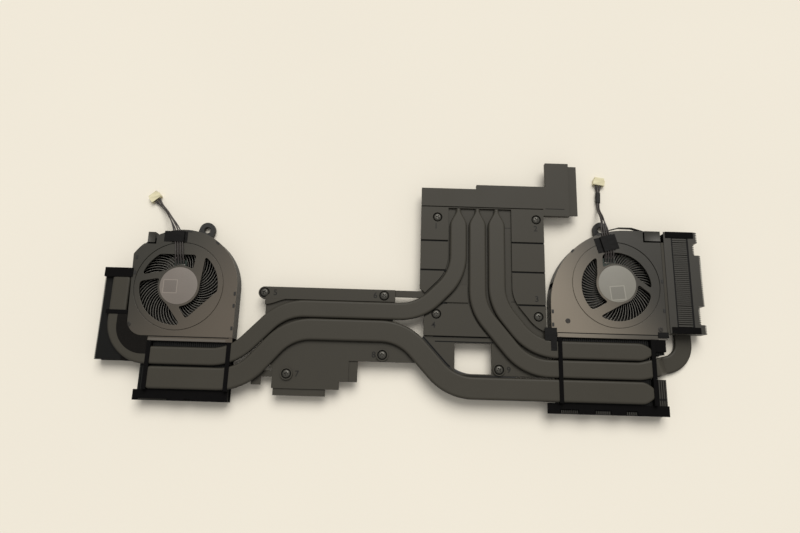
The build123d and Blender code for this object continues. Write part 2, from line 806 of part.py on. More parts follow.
bar_outline = Pos(bar_left, bar_y) * Circle(bar_width / 2)
bar_outline += rectangle(bar_left, bar_right, bar_y - bar_width / 2, bar_y + bar_width / 2)
cpu_outline = plate_outline(
    (cpu_left, cpu_lane - bridge_width),
    (cpu_block_left, cpu_step_bottom + bridge_width / 2),
    (cpu_block_left, cpu_block_bottom),
    (cpu_block_right, cpu_block_bottom),
    (cpu_block_right, cpu_step_bottom),
    (cpu_step_right, cpu_step_bottom),
    (cpu_step_right, cpu_arm_bottom),
    (cpu_arm_right, cpu_arm_bottom),
    (cpu_arm_right, cpu_lane - bridge_width / 4),
    (cpu_right, cpu_lane),
    (cpu_right, bar_y),
    (cpu_left, bar_y),
)
cpu_frame = bossed(slab(cpu_outline + bar_outline, plate_floor, pipe_floor), cpu_screws)
cpu_tabs = [
    rectangle(
        cpu_block_left + cpu_front_tab_insets[0],
        cpu_block_right - cpu_front_tab_insets[1],
        cpu_block_bottom - cpu_front_tab,
        cpu_block_bottom,
    ),
    rectangle(cpu_step_right, cpu_step_right + cpu_right_tab, cpu_step_bottom, cpu_arm_bottom),
    rectangle(
        cpu_block_left - cpu_left_tab,
        cpu_block_left,
        cpu_block_bottom + cpu_left_tab_rise[1],
        cpu_block_bottom + cpu_left_tab_rise[2],
    ),
    rectangle(
        cpu_block_left - cpu_left_tab,
        cpu_block_left - cpu_left_tab + cpu_left_tab_width,
        cpu_block_bottom + cpu_left_tab_rise[0],
        cpu_block_bottom + cpu_left_tab_rise[1],
    ),
]
for tab in cpu_tabs:
    cpu_frame += slab(tab, plate_floor, plate_floor + tab_thickness)
bar_holes = [screw_pocket(place, bar_seat, pipe_floor + bar_thickness) for place in bar_screws]
cpu_frame -= bar_holes
cpu_clamp_bar = slab(bar_outline, pipe_floor, pipe_floor + bar_thickness) - bar_holes

gpu_cold_plate = block(
    (channel_left + contact_inset, channel_bend + contact_inset, contact_floor),
    (channel_right - contact_inset, channel_top - contact_inset, plate_floor),
)
cpu_cold_plate = block(
    (cpu_contact_left, cpu_lane - bridge_width / 2 - cpu_contact_margin, contact_floor),
    (cpu_contact_right, cpu_inner_lane + pipe_width / 2, plate_floor),
)


def memory_pads():
    """Soft pads under the two columns of the graphics block, one for each chip beside it, clear of the screws."""
    columns = [(gpu_left, channel_left), (channel_right, gpu_right)]
    room = [prism(place, screw_radius + pad_screw_room, screw_sides, contact_floor, plate_floor) for place in gpu_screws]
    pads = []
    for front in groove_ys:
        for near, far in columns:
            low = (near + contact_inset, front + contact_inset, contact_floor)
            high = (far - contact_inset, front + contact_inset + pad_length, plate_floor)
            pads.append(block(low, high) - room)
    return group(pads)


def captive_screws():
    """Screws with a pan head and a neck in the frame, which their heads and wider threads keep in place."""
    places = [(p, screw_seat) for p in gpu_screws + cpu_screws + [vrm_screw]] + [(p, bar_seat) for p in bar_screws]
    thread_top = plate_floor - screw_thread_gap
    screws = []
    for place, seat in places:
        screw = prism(place, screw_head_radius, screw_sides, seat, seat + screw_head_height)
        screw += prism(place, screw_neck_radius, screw_sides, thread_top, seat)
        thread_end = thread_top - screw_thread_length
        if place in gpu_screws:
            screw += disc(place, screw_radius, thread_end, thread_top)
        else:
            screw += prism(place, screw_radius, screw_sides, thread_end, thread_top)
        screws.append(screw)
    return group(screws)


# Foam strips, seals and tapes


def foam_over_pipes(low, high):
    """A foam strip pressed over the pipes and down between them."""
    strip = block((*low, pipe_floor), (*high, pipe_top + foam_thickness))
    for pipe in pipes:
        strip -= pipe
    return strip


def front_gasket(fins_left, fins_right, overhangs, front, back, windows):
    """A strip along the outlet with windows cut from its front edge, each placed from the fins' left end."""
    strip = rectangle(fins_left - overhangs[0], fins_right + overhangs[1], front, back)
    for near, far, depth in windows:
        strip -= rectangle(fins_left + near, fins_left + far, front, front + depth)
    return slab(strip, fin_height, fin_height + foam_thickness)


left_strap_front = left_lane - bridge_width / 2 - gasket_margin
right_strap_front = right_lane - bridge_width / 2 - gasket_margin
left_strap_xs = (left_rear_fins_left + left_strap_inset, left_rear_fins_right - strap_width)
right_strap_xs = (right_rear_fins_left, right_rear_fins_right - right_strap_inset - strap_width)
left_rear_straps = group(
    [foam_over_pipes((x, left_strap_front), (x + strap_width, left_fins_back)) for x in left_strap_xs]
)
right_corner_patch = block(
    (right_strap_xs[1] + strap_width, right_fins_back - corner_patch_depth, pipe_floor),
    (right_rear_fins_right, right_fins_back, pipe_top - corner_patch_drop),
)
right_rear_straps = group(
    [
        foam_over_pipes((right_strap_xs[0], right_strap_front), (right_strap_xs[0] + strap_width, right_fins_back)),
        foam_over_pipes((right_strap_xs[1], right_strap_front), (right_strap_xs[1] + strap_width, right_fins_back))
        + right_corner_patch,
    ]
)
left_front_gasket = front_gasket(
    left_rear_fins_left,
    left_rear_fins_right,
    left_gasket_overhangs,
    left_fins_front,
    left_strap_front,
    left_gasket_windows,
)
right_front_gasket = front_gasket(
    right_rear_fins_left,
    right_rear_fins_right,
    right_gasket_overhangs,
    right_fins_front,
    right_strap_front,
    right_gasket_windows,
)
side_strap_y = left_fan_y + side_strap_shift
side_strap_right = left_fan_left - side_strap_end
left_side_straps = group(
    [
        foam_over_pipes((left_side_fins_outer + inset, y0), (side_strap_right, y1))
        for inset, y0, y1 in (
            (side_strap_inset, side_strap_y, side_strap_y + strap_width),
            (side_cover_inset, left_side_fins_back - left_side_end_inset, left_side_fins_back),
        )
    ]
)
right_side_caps = group(
    [
        block(
            (right_side_fins_inner + side_cap_inset, y, fan_top),
            (right_side_fins_outer - fin_tip_reveal, y + side_cap_length, fan_top + foam_thickness),
        )
        for y in (right_side_fins_front, right_side_fins_back - side_cap_length)
    ]
)

seal_outline = rectangle(
    left_side_fins_inner, left_rear_fins_left, left_side_fins_front, left_fan_rear + left_fan_corner
)
left_corner_seal = slab(seal_outline - left_outline, pipe_floor - foam_thickness, pipe_floor)
left_corner_seal += block(
    (left_side_fins_inner, left_side_fins_front, 0),
    (left_rear_fins_left, left_side_fins_front + seal_wall, pipe_floor - foam_thickness),
)
seal_cover_left = left_side_lane + seal_cover_inset
seal_cover = rectangle(seal_cover_left, left_strap_xs[0], left_inner_lane + seal_cover_inset, side_strap_y)
seal_cover_bend = min(seal_cover_round, left_strap_xs[0] - seal_cover_left - seal_wall)
seal_cover = fillet(seal_cover.vertices().group_by(Axis.Y)[0].sort_by(Axis.X)[0], seal_cover_bend)
left_corner_seal = group([left_corner_seal, slab(seal_cover - left_outline, pipe_top, pipe_top + film_thickness)])

left_tape_front = right_fan_rear - left_corner_rise[0]
left_corner_shape = rectangle(
    right_fan_left - left_corner_tape[0],
    right_fan_left + left_corner_tape[1],
    left_tape_front,
    right_fan_rear + left_corner_rise[1],
)
left_corner_shape += rectangle(
    right_fan_left - left_corner_leg[0],
    right_fan_left + left_corner_leg[1],
    left_tape_front - left_corner_leg[2],
    left_tape_front,
)
left_corner_shape -= rectangle(
    right_strap_xs[0] - corner_tape_gap,
    right_strap_xs[0] + strap_width + corner_tape_gap,
    right_strap_front,
    right_fins_back + corner_tape_gap,
)
right_corner_shape = rectangle(
    right_fan_right - right_corner_tape[0],
    right_fan_right + right_corner_tape[1],
    right_fan_rear - corner_tape_overlap,
    right_fan_rear + corner_tape_overlap,
)
right_corner_tapes = group(
    [slab(shape, fan_top, fan_top + film_thickness) for shape in (left_corner_shape, right_corner_shape)]
)


def bowed_film(inset):
    """The outline under a film that bows off the fan's top edge."""
    x0, x1 = (right_fan_x + reach for reach in film_reach)
    return plate_outline(
        (x0 + 2 * inset, right_fan_top),
        (x1 - 2 * inset, right_fan_top),
        ((x0 + 2 * x1) / 3, right_fan_top + film_bow - inset),
        ((2 * x0 + x1) / 3, right_fan_top + film_bow - inset),
    )


right_edge_film = slab(bowed_film(0) - bowed_film(film_thickness), cover_floor - film_height, cover_floor)


# Fan wires


def tape(place, angle, size, shift):
    """A strip of tape over the wires, raised into a tunnel that may stand off its middle."""
    half, tunnel = size[0] / 2, tape_tunnel_width / 2
    rise = wire_diameter + 2 * wire_lift
    over = tunnel + tape_thickness
    profile = plate_outline(
        (-half, 0),
        (shift - tunnel, 0),
        (shift - tunnel, rise),
        (shift + tunnel, rise),
        (shift + tunnel, 0),
        (half, 0),
        (half, tape_thickness),
        (shift + over, tape_thickness),
        (shift + over, rise + tape_thickness),
        (shift - over, rise + tape_thickness),
        (shift - over, tape_thickness),
        (-half, tape_thickness),
    )
    strip = extrude(Plane.XZ * profile, size[1] / 2, both=True)
    return Pos(*place, fan_top) * Rot(0, 0, angle) * strip


def across(direction):
    """The level direction to the right of a wire."""
    level = Vector(direction.X, direction.Y, 0).normalized()
    return Vector(level.Y, -level.X, 0)


def wire_routes(points, pitches):
    """Four routes beside a middle one. A pitch is for a flat row, and a pair (pitch, rise) for a bundle of two by two."""
    routes = []
    bundle_side, bundle_rise = (-0.5, -0.5, 0.5, 0.5), (-0.5, 0.5, 0.5, -0.5)
    spine = [Vector(*p) for p in points]
    for i in range(4):
        route = []
        for k, point in enumerate(spine):
            side = across(spine[min(k + 1, len(spine) - 1)] - spine[max(k - 1, 0)])
            if isinstance(pitches[k], tuple):
                shift = side * pitches[k][0] * bundle_side[i] + Vector(0, 0, pitches[k][1] * bundle_rise[i])
            else:
                shift = side * pitches[k] * (i - 1.5)
            route.append(point + shift)
        routes.append(route)
    return routes


def corner_radii(route):
    """The largest radius that the two runs at each corner leave room for."""
    radii = []
    for before, here, after in zip(route, route[1:], route[2:]):
        turn = math.radians((here - before).get_angle(after - here))
        radii.append(0.45 * min((here - before).length, (after - here).length) / math.tan(turn / 2))
    return radii


def wire(name, route):
    """A thin tube along straight runs and tangent arcs."""
    radii = corner_radii(route)
    path = FilletPolyline(*route, radius=radii)
    along = path % 0
    start = Plane(path @ 0, x_dir=Vector(0, 0, 1).cross(along), z_dir=along)
    section = ring_round(wire_radius, 4)
    tube = sweep(start * section, path=path)
    share = tube.volume / (section.area * path.length)
    print(f"{name}: length {path.length:.1f}, tightest radius {min(radii):.1f}, volume share {share:.3f}")
    return tube


def plug(route):
    """A four-way plug at a route's end: a housing with side ribs and a stepped nose, open at its contacts."""
    (from_x, from_y, _), (end_x, end_y, _) = route[-2:]
    turn = math.degrees(math.atan2(end_y - from_y, end_x - from_x)) - 90
    depth, half = plug_length, plug_width / 2
    plan = plate_outline(
        (-half, 0),
        (half, 0),
        (half, plug_shoulder),
        (half - plug_step, plug_shoulder),
        (half - plug_step, depth),
        (plug_step - half, depth),
        (plug_step - half, plug_shoulder),
        (-half, plug_shoulder),
    )
    housing = slab(plan, 0, plug_height)
    for i in range(4):
        hole = Box(*plug_contact, align=(Align.CENTER, Align.MAX, Align.CENTER))
        housing -= Pos((i - 1.5) * plug_pitch, depth, plug_height / 2) * hole
    return Pos(end_x, end_y) * Rot(0, 0, turn) * Pos(0, -wire_insert) * housing


bundle = (bundle_pitch, bundle_pitch)
gathering = (1.0, 1.1)
spreading = (0.9, 1.0)
row_pitches = [1.4, 1.35, 1.25, 1.25]
left_wire_points = [
    (left_fan_x - 0.8, left_fan_y + 11.7, wire_on_board),
    (left_fan_x - 1.2, left_fan_y + 15.6, wire_on_cover + 0.15),
    (left_fan_x - 2.0, left_fan_y + 22.8, wire_on_cover),
    (left_fan_x - 3.6, left_fan_y + 30.0, wire_on_cover + 0.1),
    (left_fan_x - 8.2, left_fan_y + 37.4, 9.0),
    (left_fan_x - 13.6, left_fan_y + 43.6, 3.6),
    (left_fan_x - 18.3, left_fan_y + 47.9, wire_on_table + 0.15),
    (left_fan_x - 21.1, left_fan_y + 51.1, wire_on_table),
]
right_wire_points = [
    (right_fan_x - 3.4, right_fan_y + 11.7, wire_on_board),
    (right_fan_x - 3.0, right_fan_y + 16.4, wire_on_cover + 0.15),
    (right_fan_x - 4.2, right_fan_y + 22.6, wire_on_cover),
    (right_fan_x - 5.4, right_fan_y + 29.4, wire_on_cover + 0.1),
    (right_fan_x - 5.8, right_fan_y + 37.2, 8.0),
    (right_fan_x - 6.0, right_fan_y + 43.0, 2.9),
    (right_fan_x - 5.6, right_fan_y + 46.8, wire_on_table + 0.2),
    (right_fan_x - 5.2, right_fan_y + 55.6, wire_on_table + 0.2),
    (right_fan_x - 4.6, right_fan_y + 59.6, wire_on_table),
]
left_pitches = row_pitches + [gathering, bundle, spreading, plug_pitch]
right_pitches = row_pitches + [gathering, bundle, bundle, spreading, plug_pitch]
left_wires = [
    wire(f"left_fan_wire_{i + 1}", route) for i, route in enumerate(wire_routes(left_wire_points, left_pitches))
]
right_wires = [
    wire(f"right_fan_wire_{i + 1}", route) for i, route in enumerate(wire_routes(right_wire_points, right_pitches))
]
left_tape_place = [a + b for a, b in zip(left_place, left_tape_shift)]
right_tape_place = [a + b for a, b in zip(right_place, right_tape_shift)]
left_tape = tape(left_tape_place, left_tape_angle, left_tape_size, left_tunnel_shift)
right_tape = tape(right_tape_place, right_tape_angle, right_tape_size, right_tunnel_shift)
left_plug = plug(left_wire_points)
right_plug = plug(right_wire_points)

sleeve_from, sleeve_to = Vector(*right_wire_points[6]), Vector(*right_wire_points[7])
sleeve_along = (sleeve_to - sleeve_from).normalized()
sleeve_start = (sleeve_from + sleeve_to) * 0.5 - sleeve_along * sleeve_length * 0.5
sleeve_bore = bundle_pitch / math.sqrt(2) + wire_radius + sleeve_clearance
sleeve_ring = RegularPolygon(sleeve_bore + sleeve_wall, sleeve_sides, major_radius=False)
sleeve_ring -= RegularPolygon(sleeve_bore, sleeve_sides, major_radius=False)
right_wire_sleeve = extrude(Plane(sleeve_start, z_dir=sleeve_along) * sleeve_ring, sleeve_length)

nodes = {
    "left_pipe": left_pipe,
    "bridge_pipe": bridge_pipe,
    "middle_pipe": middle_pipe,
    "right_pipe": right_pipe,
    "gpu_frame": gpu_frame,
    "gpu_cold_plate": gpu_cold_plate,
    "memory_pads": memory_pads(),
    "vrm_plate": vrm_plate,
    "cpu_frame": cpu_frame,
    "cpu_cold_plate": cpu_cold_plate,
    "cpu_clamp_bar": cpu_clamp_bar,
    "captive_screws": captive_screws(),
    "left_rear_fins": left_rear_fins,
    "left_side_fins": left_side_fins,
    "right_rear_fins": right_rear_fins,
    "right_side_fins": right_side_fins,
    "left_rear_straps": left_rear_straps,
    "right_rear_straps": right_rear_straps,
    "left_side_straps": left_side_straps,
    "right_side_caps": right_side_caps,
    "left_front_gasket": left_front_gasket,
    "right_front_gasket": right_front_gasket,
    "left_corner_seal": left_corner_seal,
    "right_corner_tapes": right_corner_tapes,
    "right_edge_film": right_edge_film,
    "left_fan_base": left_fan_base,
    "left_fan_ear": left_fan_ear,
    "left_fan_cover": left_fan_cover,
    "left_impeller": left_impeller,
    "left_shaft": left_shaft,
    "left_magnet": left_magnet,
    "left_bearing": left_bearing,
    "left_stator": left_stator,
    "left_board": left_board,
    "left_label": left_label,
    "left_tape": left_tape,
    "left_plug": left_plug,
    "right_fan_base": right_fan_base,
    "right_fan_ear": right_fan_ear,
    "right_fan_cover": right_fan_cover,
    "right_impeller": right_impeller,
    "right_shaft": right_shaft,
    "right_magnet": right_magnet,
    "right_bearing": right_bearing,
    "right_stator": right_stator,
    "right_board": right_board,
    "right_label": right_label,
    "right_tape": right_tape,
    "right_plug": right_plug,
    "right_wire_sleeve": right_wire_sleeve,
}
for i in range(4):
    nodes[f"left_fan_wire_{i + 1}"] = left_wires[i]
    nodes[f"right_fan_wire_{i + 1}"] = right_wires[i]

# The origin goes to the middle of the footprint, measured without the wires and plugs
loose = ("wire", "plug")
fixed = [node for name, node in nodes.items() if not any(word in name for word in loose)]
footprint = Compound(children=[copy for node in fixed for copy in node.solids()]).bounding_box()
middle = footprint.center()
os.makedirs("parts", exist_ok=True)
for name, node in nodes.items():
    export_step(Pos(-middle.X, -middle.Y, 0) * node, f"parts/{name}.step")
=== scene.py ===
import json
import math
import bmesh
import bpy
from mathutils import Matrix, Vector


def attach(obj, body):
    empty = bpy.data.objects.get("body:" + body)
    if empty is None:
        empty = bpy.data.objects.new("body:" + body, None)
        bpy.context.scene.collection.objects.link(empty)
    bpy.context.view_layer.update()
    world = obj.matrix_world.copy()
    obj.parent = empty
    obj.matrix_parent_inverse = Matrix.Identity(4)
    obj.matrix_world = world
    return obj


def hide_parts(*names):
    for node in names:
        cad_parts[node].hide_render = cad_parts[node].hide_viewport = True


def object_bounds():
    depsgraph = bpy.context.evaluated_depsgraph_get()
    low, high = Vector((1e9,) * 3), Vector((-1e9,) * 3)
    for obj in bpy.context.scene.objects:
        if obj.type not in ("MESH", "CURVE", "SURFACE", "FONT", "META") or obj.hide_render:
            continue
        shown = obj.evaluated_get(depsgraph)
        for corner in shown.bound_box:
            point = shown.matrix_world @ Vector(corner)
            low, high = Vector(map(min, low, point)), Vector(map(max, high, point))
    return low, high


# Everything is drawn in the part's own drawing millimetres and moved into the frame at the end, in metres
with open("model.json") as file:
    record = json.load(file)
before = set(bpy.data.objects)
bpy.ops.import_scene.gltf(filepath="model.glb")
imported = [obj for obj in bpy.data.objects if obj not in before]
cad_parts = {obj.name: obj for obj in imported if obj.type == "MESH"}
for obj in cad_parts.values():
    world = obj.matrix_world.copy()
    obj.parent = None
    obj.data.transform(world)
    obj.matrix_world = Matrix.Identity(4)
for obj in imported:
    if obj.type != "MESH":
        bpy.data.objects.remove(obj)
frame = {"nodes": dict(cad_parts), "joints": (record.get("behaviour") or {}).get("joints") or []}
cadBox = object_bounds()
scene = bpy.context.scene
sides = ("left", "right")
toMetres = Matrix.Scale(0.001, 4)
toMillimetres = Matrix.Scale(1000.0, 4)
hubDrawing = {"left": Vector((-118.0, -14.0)), "right": Vector((117.0, -6.0))}
hubFrame = {joint["name"].split("_")[0]: 1000.0 * Vector(joint["pos_m"]) for joint in frame["joints"]}
origin = hubFrame["left"].xy - hubDrawing["left"]
intoFrame = toMetres @ Matrix.Translation((origin.x, origin.y, 0.0))


def spot(x, y, z):
    return intoFrame @ Vector((x, y, z))


def placed(name, data):
    obj = bpy.data.objects.new(name, data)
    scene.collection.objects.link(obj)
    return obj


def settled(obj):  # the evaluated mesh, with the object gone
    graph = bpy.context.evaluated_depsgraph_get()
    mesh = bpy.data.meshes.new_from_object(obj.evaluated_get(graph))
    bpy.data.objects.remove(obj)
    return mesh


def shapeFrom(*meshes):
    shape = bmesh.new()
    for mesh in meshes:
        shape.from_mesh(mesh)
    return shape


def meshFrom(shape, name):
    mesh = bpy.data.meshes.new(name)
    shape.to_mesh(mesh)
    shape.free()
    return mesh


def tone(red, green, blue):
    shares = [value / 255.0 for value in (red, green, blue)]
    return (*[s / 12.92 if s <= 0.04045 else ((s + 0.055) / 1.055) ** 2.4 for s in shares], 1.0)


def shaded(colour, share):
    return (*[min(1.0, channel * share) for channel in colour[:3]], 1.0)


# Camera at the photograph's angle, for a frame of 800 by 533
cameraSizes = {
    "at": (0.0, -70.7, 312.9), "elevation": 76.9, "roll": 1.68, "lens": 26.01, "sensor": 36.0,
    "nearest": 0.005,
}
tilt = math.radians(cameraSizes["elevation"])
roll = math.radians(cameraSizes["roll"])
level = Vector((1.0, 0.0, 0.0))
forward = Vector((0.0, math.cos(tilt), -math.sin(tilt)))
upright = Vector((0.0, math.sin(tilt), math.cos(tilt)))
rightward = math.cos(roll) * level + math.sin(roll) * upright
upward = math.cos(roll) * upright - math.sin(roll) * level
cameraData = bpy.data.cameras.new("photoCamera")
cameraData.lens = cameraSizes["lens"]
cameraData.sensor_width = cameraSizes["sensor"]
cameraData.clip_start = cameraSizes["nearest"]
cameraTurn = Matrix((rightward, upward, -forward)).transposed().to_4x4()
camera = placed("photoCamera", cameraData)
camera.matrix_world = Matrix.Translation(spot(*cameraSizes["at"])) @ cameraTurn
scene.camera = camera
scene.view_settings.view_transform = "Standard"


# Nodes: a socket that does sums, a tree that adds any node, and two kinds of tree
def sums(operation, flipped=False):
    def act(self, value=0.0):
        first, second = (value, self) if flipped else (self, value)
        return self.tree.add("ShaderNodeMath", {"operation": operation}, {0: first, 1: second})
    return act


class Sock:
    __add__ = sums("ADD")
    __radd__ = sums("ADD", True)
    __sub__ = sums("SUBTRACT")
    __rsub__ = sums("SUBTRACT", True)
    __mul__ = sums("MULTIPLY")
    __rmul__ = sums("MULTIPLY", True)
    __truediv__ = sums("DIVIDE")
    __rtruediv__ = sums("DIVIDE", True)
    __pow__ = sums("POWER")
    __rpow__ = sums("POWER", True)
    __lt__ = sums("LESS_THAN")
    __gt__ = sums("GREATER_THAN")
    __abs__ = sums("ABSOLUTE")
    larger = sums("MAXIMUM")
    cosine = sums("COSINE")
    sine = sums("SINE")

    def __init__(self, tree, socket):
        self.tree = tree
        self.socket = socket

    def other(self, name):
        return Sock(self.tree, self.socket.node.outputs[name])


class Tree:
    def __init__(self, tree):
        self.tree = tree

    def put(self, socket, value):
        if isinstance(value, Sock):
            self.tree.links.new(value.socket, socket)
        elif isinstance(value, list):  # several links into one socket
            for item in reversed(value):
                self.put(socket, item)
        else:
            socket.default_value = value

    def add(self, kind, settings=None, values=None, out=0):
        node = self.tree.nodes.new(kind)
        for key, value in (settings or {}).items():
            setattr(node, key, value)
        for key, value in (values or {}).items():
            self.put(node.inputs[key], value)
        return Sock(self, node.outputs[out])


class Finish(Tree):
    def __init__(self, name):
        self.material = bpy.data.materials.new(name)
        self.material.use_nodes = True
        super().__init__(self.material.node_tree)
        self.shader = self.tree.nodes["Principled BSDF"]
        self.place = self.add("ShaderNodeTexCoord", out="Object")

    def set(self, **values):
        for key, value in values.items():
            self.put(self.shader.inputs[key.replace("_", " ")], value)
        return self

    def axis(self, name):
        return self.add("ShaderNodeSeparateXYZ", {}, {0: self.place}, out=name)

    def noise(self, scale, detail=3.0, stretch=(1.0, 1.0, 1.0)):
        mapped = self.add("ShaderNodeMapping", {}, {"Vector": self.place, "Scale": stretch})
        return self.add("ShaderNodeTexNoise", {}, {"Vector": mapped, "Scale": scale, "Detail": detail})

    def mix(self, share, first, second, blend="MIX"):
        settings = {"data_type": "RGBA", "blend_type": blend}
        return self.add("ShaderNodeMix", settings, {0: share, 6: first, 7: second}, out=2)

    def between(self, share, base, low, high):
        return self.mix(share, shaded(base, low), shaded(base, high))

    def bump(self, height, distance):
        return self.add("ShaderNodeBump", {}, {"Height": height, "Distance": distance, "Strength": 1.0})

    # painted sheen: the colour darkens smoothly from the start point to the end point, standing in for sheen
    # that falls off across a surface
    def fade(self, body, base, start, end, colour):
        near, far = spot(*start, 0.0), spot(*end, 0.0)
        run = (far - near) / (far - near).length_squared
        share = (self.axis("X") - near.x) * run.x + (self.axis("Y") - near.y) * run.y
        smooth = self.add("ShaderNodeMapRange", {"interpolation_type": "SMOOTHSTEP"}, {"Value": share})
        ratio = (*[a / b for a, b in zip(tone(*colour)[:3], base[:3])], 1.0)
        return self.mix(smooth, body, ratio, "MULTIPLY")


class Rule(Tree):
    def __init__(self, name, inputs):
        self.name = name
        super().__init__(bpy.data.node_groups.new(name, "GeometryNodeTree"))
        panel = self.tree.interface
        panel.new_socket("Geometry", in_out="INPUT", socket_type="NodeSocketGeometry")
        panel.new_socket("Geometry", in_out="OUTPUT", socket_type="NodeSocketGeometry")
        self.labels = {}
        for label, kind in {**inputs, "Material": "Material"}.items():
            socket = panel.new_socket(label, in_out="INPUT", socket_type="NodeSocket" + kind)
            self.labels[label] = socket.identifier
        self.inlet = self.add("NodeGroupInput")
        self.outlet = self.tree.nodes.new("NodeGroupOutput")

    def given(self, label):
        return self.inlet.other(label)

    def vector(self, x, y, z):
        return self.add("ShaderNodeCombineXYZ", {}, {0: x, 1: y, 2: z})

    def box(self, size, middle):
        cube = self.add("GeometryNodeMeshCube", {}, {"Size": self.vector(*size)})
        return self.add("GeometryNodeTransform", {}, {"Geometry": cube, "Translation": self.vector(*middle)})

    def close(self, geometry):
        whole = self.add("GeometryNodeRealizeInstances", {}, {"Geometry": geometry})
        values = {"Geometry": whole, "Material": self.given("Material")}
        self.put(self.outlet.inputs[0], self.add("GeometryNodeSetMaterial", {}, values))

    def run(self, values, finish, points=None):
        host = placed(self.name, points or bpy.data.meshes.new(self.name))
        modifier = host.modifiers.new(self.name, "NODES")
        modifier.node_group = self.tree
        for label, value in {**values, "Material": finishes[finish].material}.items():
            modifier[self.labels[label]] = value
        return settled(host)


# Floor, a wide soft light from behind and an even sky
floorSizes = {
    "half": 3.0, "cells": 8, "under": 0.0002, "colour": (237, 231, 218), "cloud": 5.0, "grain": 900.0,
    "dent": 0.00003,
}
floorShape = bmesh.new()
floorCells = floorSizes["cells"]
bmesh.ops.create_grid(floorShape, x_segments=floorCells, y_segments=floorCells, size=floorSizes["half"])
floorFinish = Finish("tablePaper")
floorCloud = floorFinish.noise(floorSizes["cloud"], detail=2.0)
floorFinish.set(
    Base_Color=floorFinish.between(floorCloud, tone(*floorSizes["colour"]), 0.97, 1.02),
    Roughness=0.85,
    Normal=floorFinish.bump(floorFinish.noise(floorSizes["grain"]), floorSizes["dent"]),
    Specular_IOR_Level=0.1,
)
floor = placed("tableTop", meshFrom(floorShape, "tableTop"))
floor.data.materials.append(floorFinish.material)
floor.location = (0.0, 0.0, cadBox[0][2] - floorSizes["under"])

lampSizes = {"from": (0.1, 0.72, 1.0), "spread": 44.0, "power": 2.35, "colour": (1.0, 0.985, 0.95)}
lampData = bpy.data.lights.new("windowLight", "SUN")
lampData.energy = lampSizes["power"]
lampData.angle = math.radians(lampSizes["spread"])
lampData.color = lampSizes["colour"]
lamp = placed("windowLight", lampData)
lamp.rotation_euler = (-Vector(lampSizes["from"])).to_track_quat("-Z", "Y").to_euler()
skySizes = {"Color": (1.0, 0.985, 0.96, 1.0), "Strength": 0.43}
world = bpy.data.worlds.new("sky")
world.use_nodes = True
for label, value in skySizes.items():
    world.node_tree.nodes["Background"].inputs[label].default_value = value
scene.world = world
print("stage: camera, floor and light")


# Finishes. A cloud or a grain is a noise scale and how far it moves the tone
def coated(
    name, colour, rough, metal=0.0, cloud=(45.0, 0.1), grain=(2600.0, 0.15), dent=0.000006, shine=0.35,
    fade=None, edge=0.0, sideShadeCurve=0.9, grainRough=0.2, cloudRough=0.12,
):
    made = Finish(name)
    base = tone(*colour)
    broad = made.noise(cloud[0])
    fine = made.noise(grain[0], detail=2.0)
    wide = made.between(broad, base, 1.0 - cloud[1], 1.0 + cloud[1])
    speck = made.between(fine, base, 1.0 - grain[1], 1.0 + grain[1])
    body = made.mix(0.5, wide, speck)
    # painted sheen: darker towards the given end point
    if fade:
        body = made.fade(body, base, *fade)
    # painted shade: the attribute darkens the round sides of a pipe, standing in for the shade that falls on
    # them
    if edge:  # the round sides of a pipe are darker than its flat top
        flat = made.add("ShaderNodeAttribute", {"attribute_name": "flat"}, out="Fac")
        body = made.mix(flat ** sideShadeCurve, shaded(base, edge), body)
    return made.set(
        Base_Color=body,
        Roughness=rough + (fine - 0.5) * grainRough + (broad - 0.5) * cloudRough,
        Normal=made.bump(fine, dent),
        Metallic=metal,
        Specular_IOR_Level=shine,
    )


def brushed(name, colour, rough, stretch, metal=0.9, streaks=700.0, dent=0.000004):
    made = Finish(name)
    streak = made.noise(streaks, detail=4.0, stretch=stretch)
    cloud = made.noise(60.0, detail=2.0)
    return made.set(
        Base_Color=made.between(streak, tone(*colour), 0.8, 1.15),
        Roughness=rough + (streak - 0.5) * 0.25 + (cloud - 0.5) * 0.1,
        Metallic=metal,
        Normal=made.bump(streak, dent),
    )


# painted highlight: the part above the height gets a pale colour, standing in for light falling on the tops
def topHighlighted(name, colour, upper, height, rough=0.4, streaks=700.0, dent=0.000004):
    made = Finish(name)
    streak = made.noise(streaks, detail=4.0, stretch=(1.0, 1.0, 8.0))
    low = made.between(streak, tone(*colour), 0.8, 1.2)
    high = made.between(streak, tone(*upper), 0.8, 1.2)
    return made.set(
        Base_Color=made.mix(made.axis("Z") > height, low, high),
        Roughness=rough + (streak - 0.5) * 0.25,
        Normal=made.bump(streak, dent),
    )


def foamed(name, colour, rough=0.9, cell=2200.0, dent=0.00006, shine=0.12):
    made = Finish(name)
    cells = made.add("ShaderNodeTexVoronoi", {}, {"Vector": made.place, "Scale": cell})
    cloud = made.noise(150.0)
    return made.set(
        Base_Color=made.between(cells * 1.4, tone(*colour), 0.55, 1.25),
        Roughness=rough + (cloud - 0.5) * 0.1,
        Normal=made.bump(cells + cloud, dent),
        Specular_IOR_Level=shine,
    )


def taped(name, colour, rough, waves=260.0, threads=3200.0, dent=0.00009, shine=0.12):
    made = Finish(name)
    wave = made.noise(waves, stretch=(1.0, 2.2, 1.0))
    weave = made.noise(threads, detail=1.0)
    return made.set(
        Base_Color=made.between(wave, tone(*colour), 0.7, 1.35),
        Roughness=rough + (weave - 0.5) * 0.25,
        Normal=made.bump(wave + weave * 0.15, dent),
        Specular_IOR_Level=shine,
    )


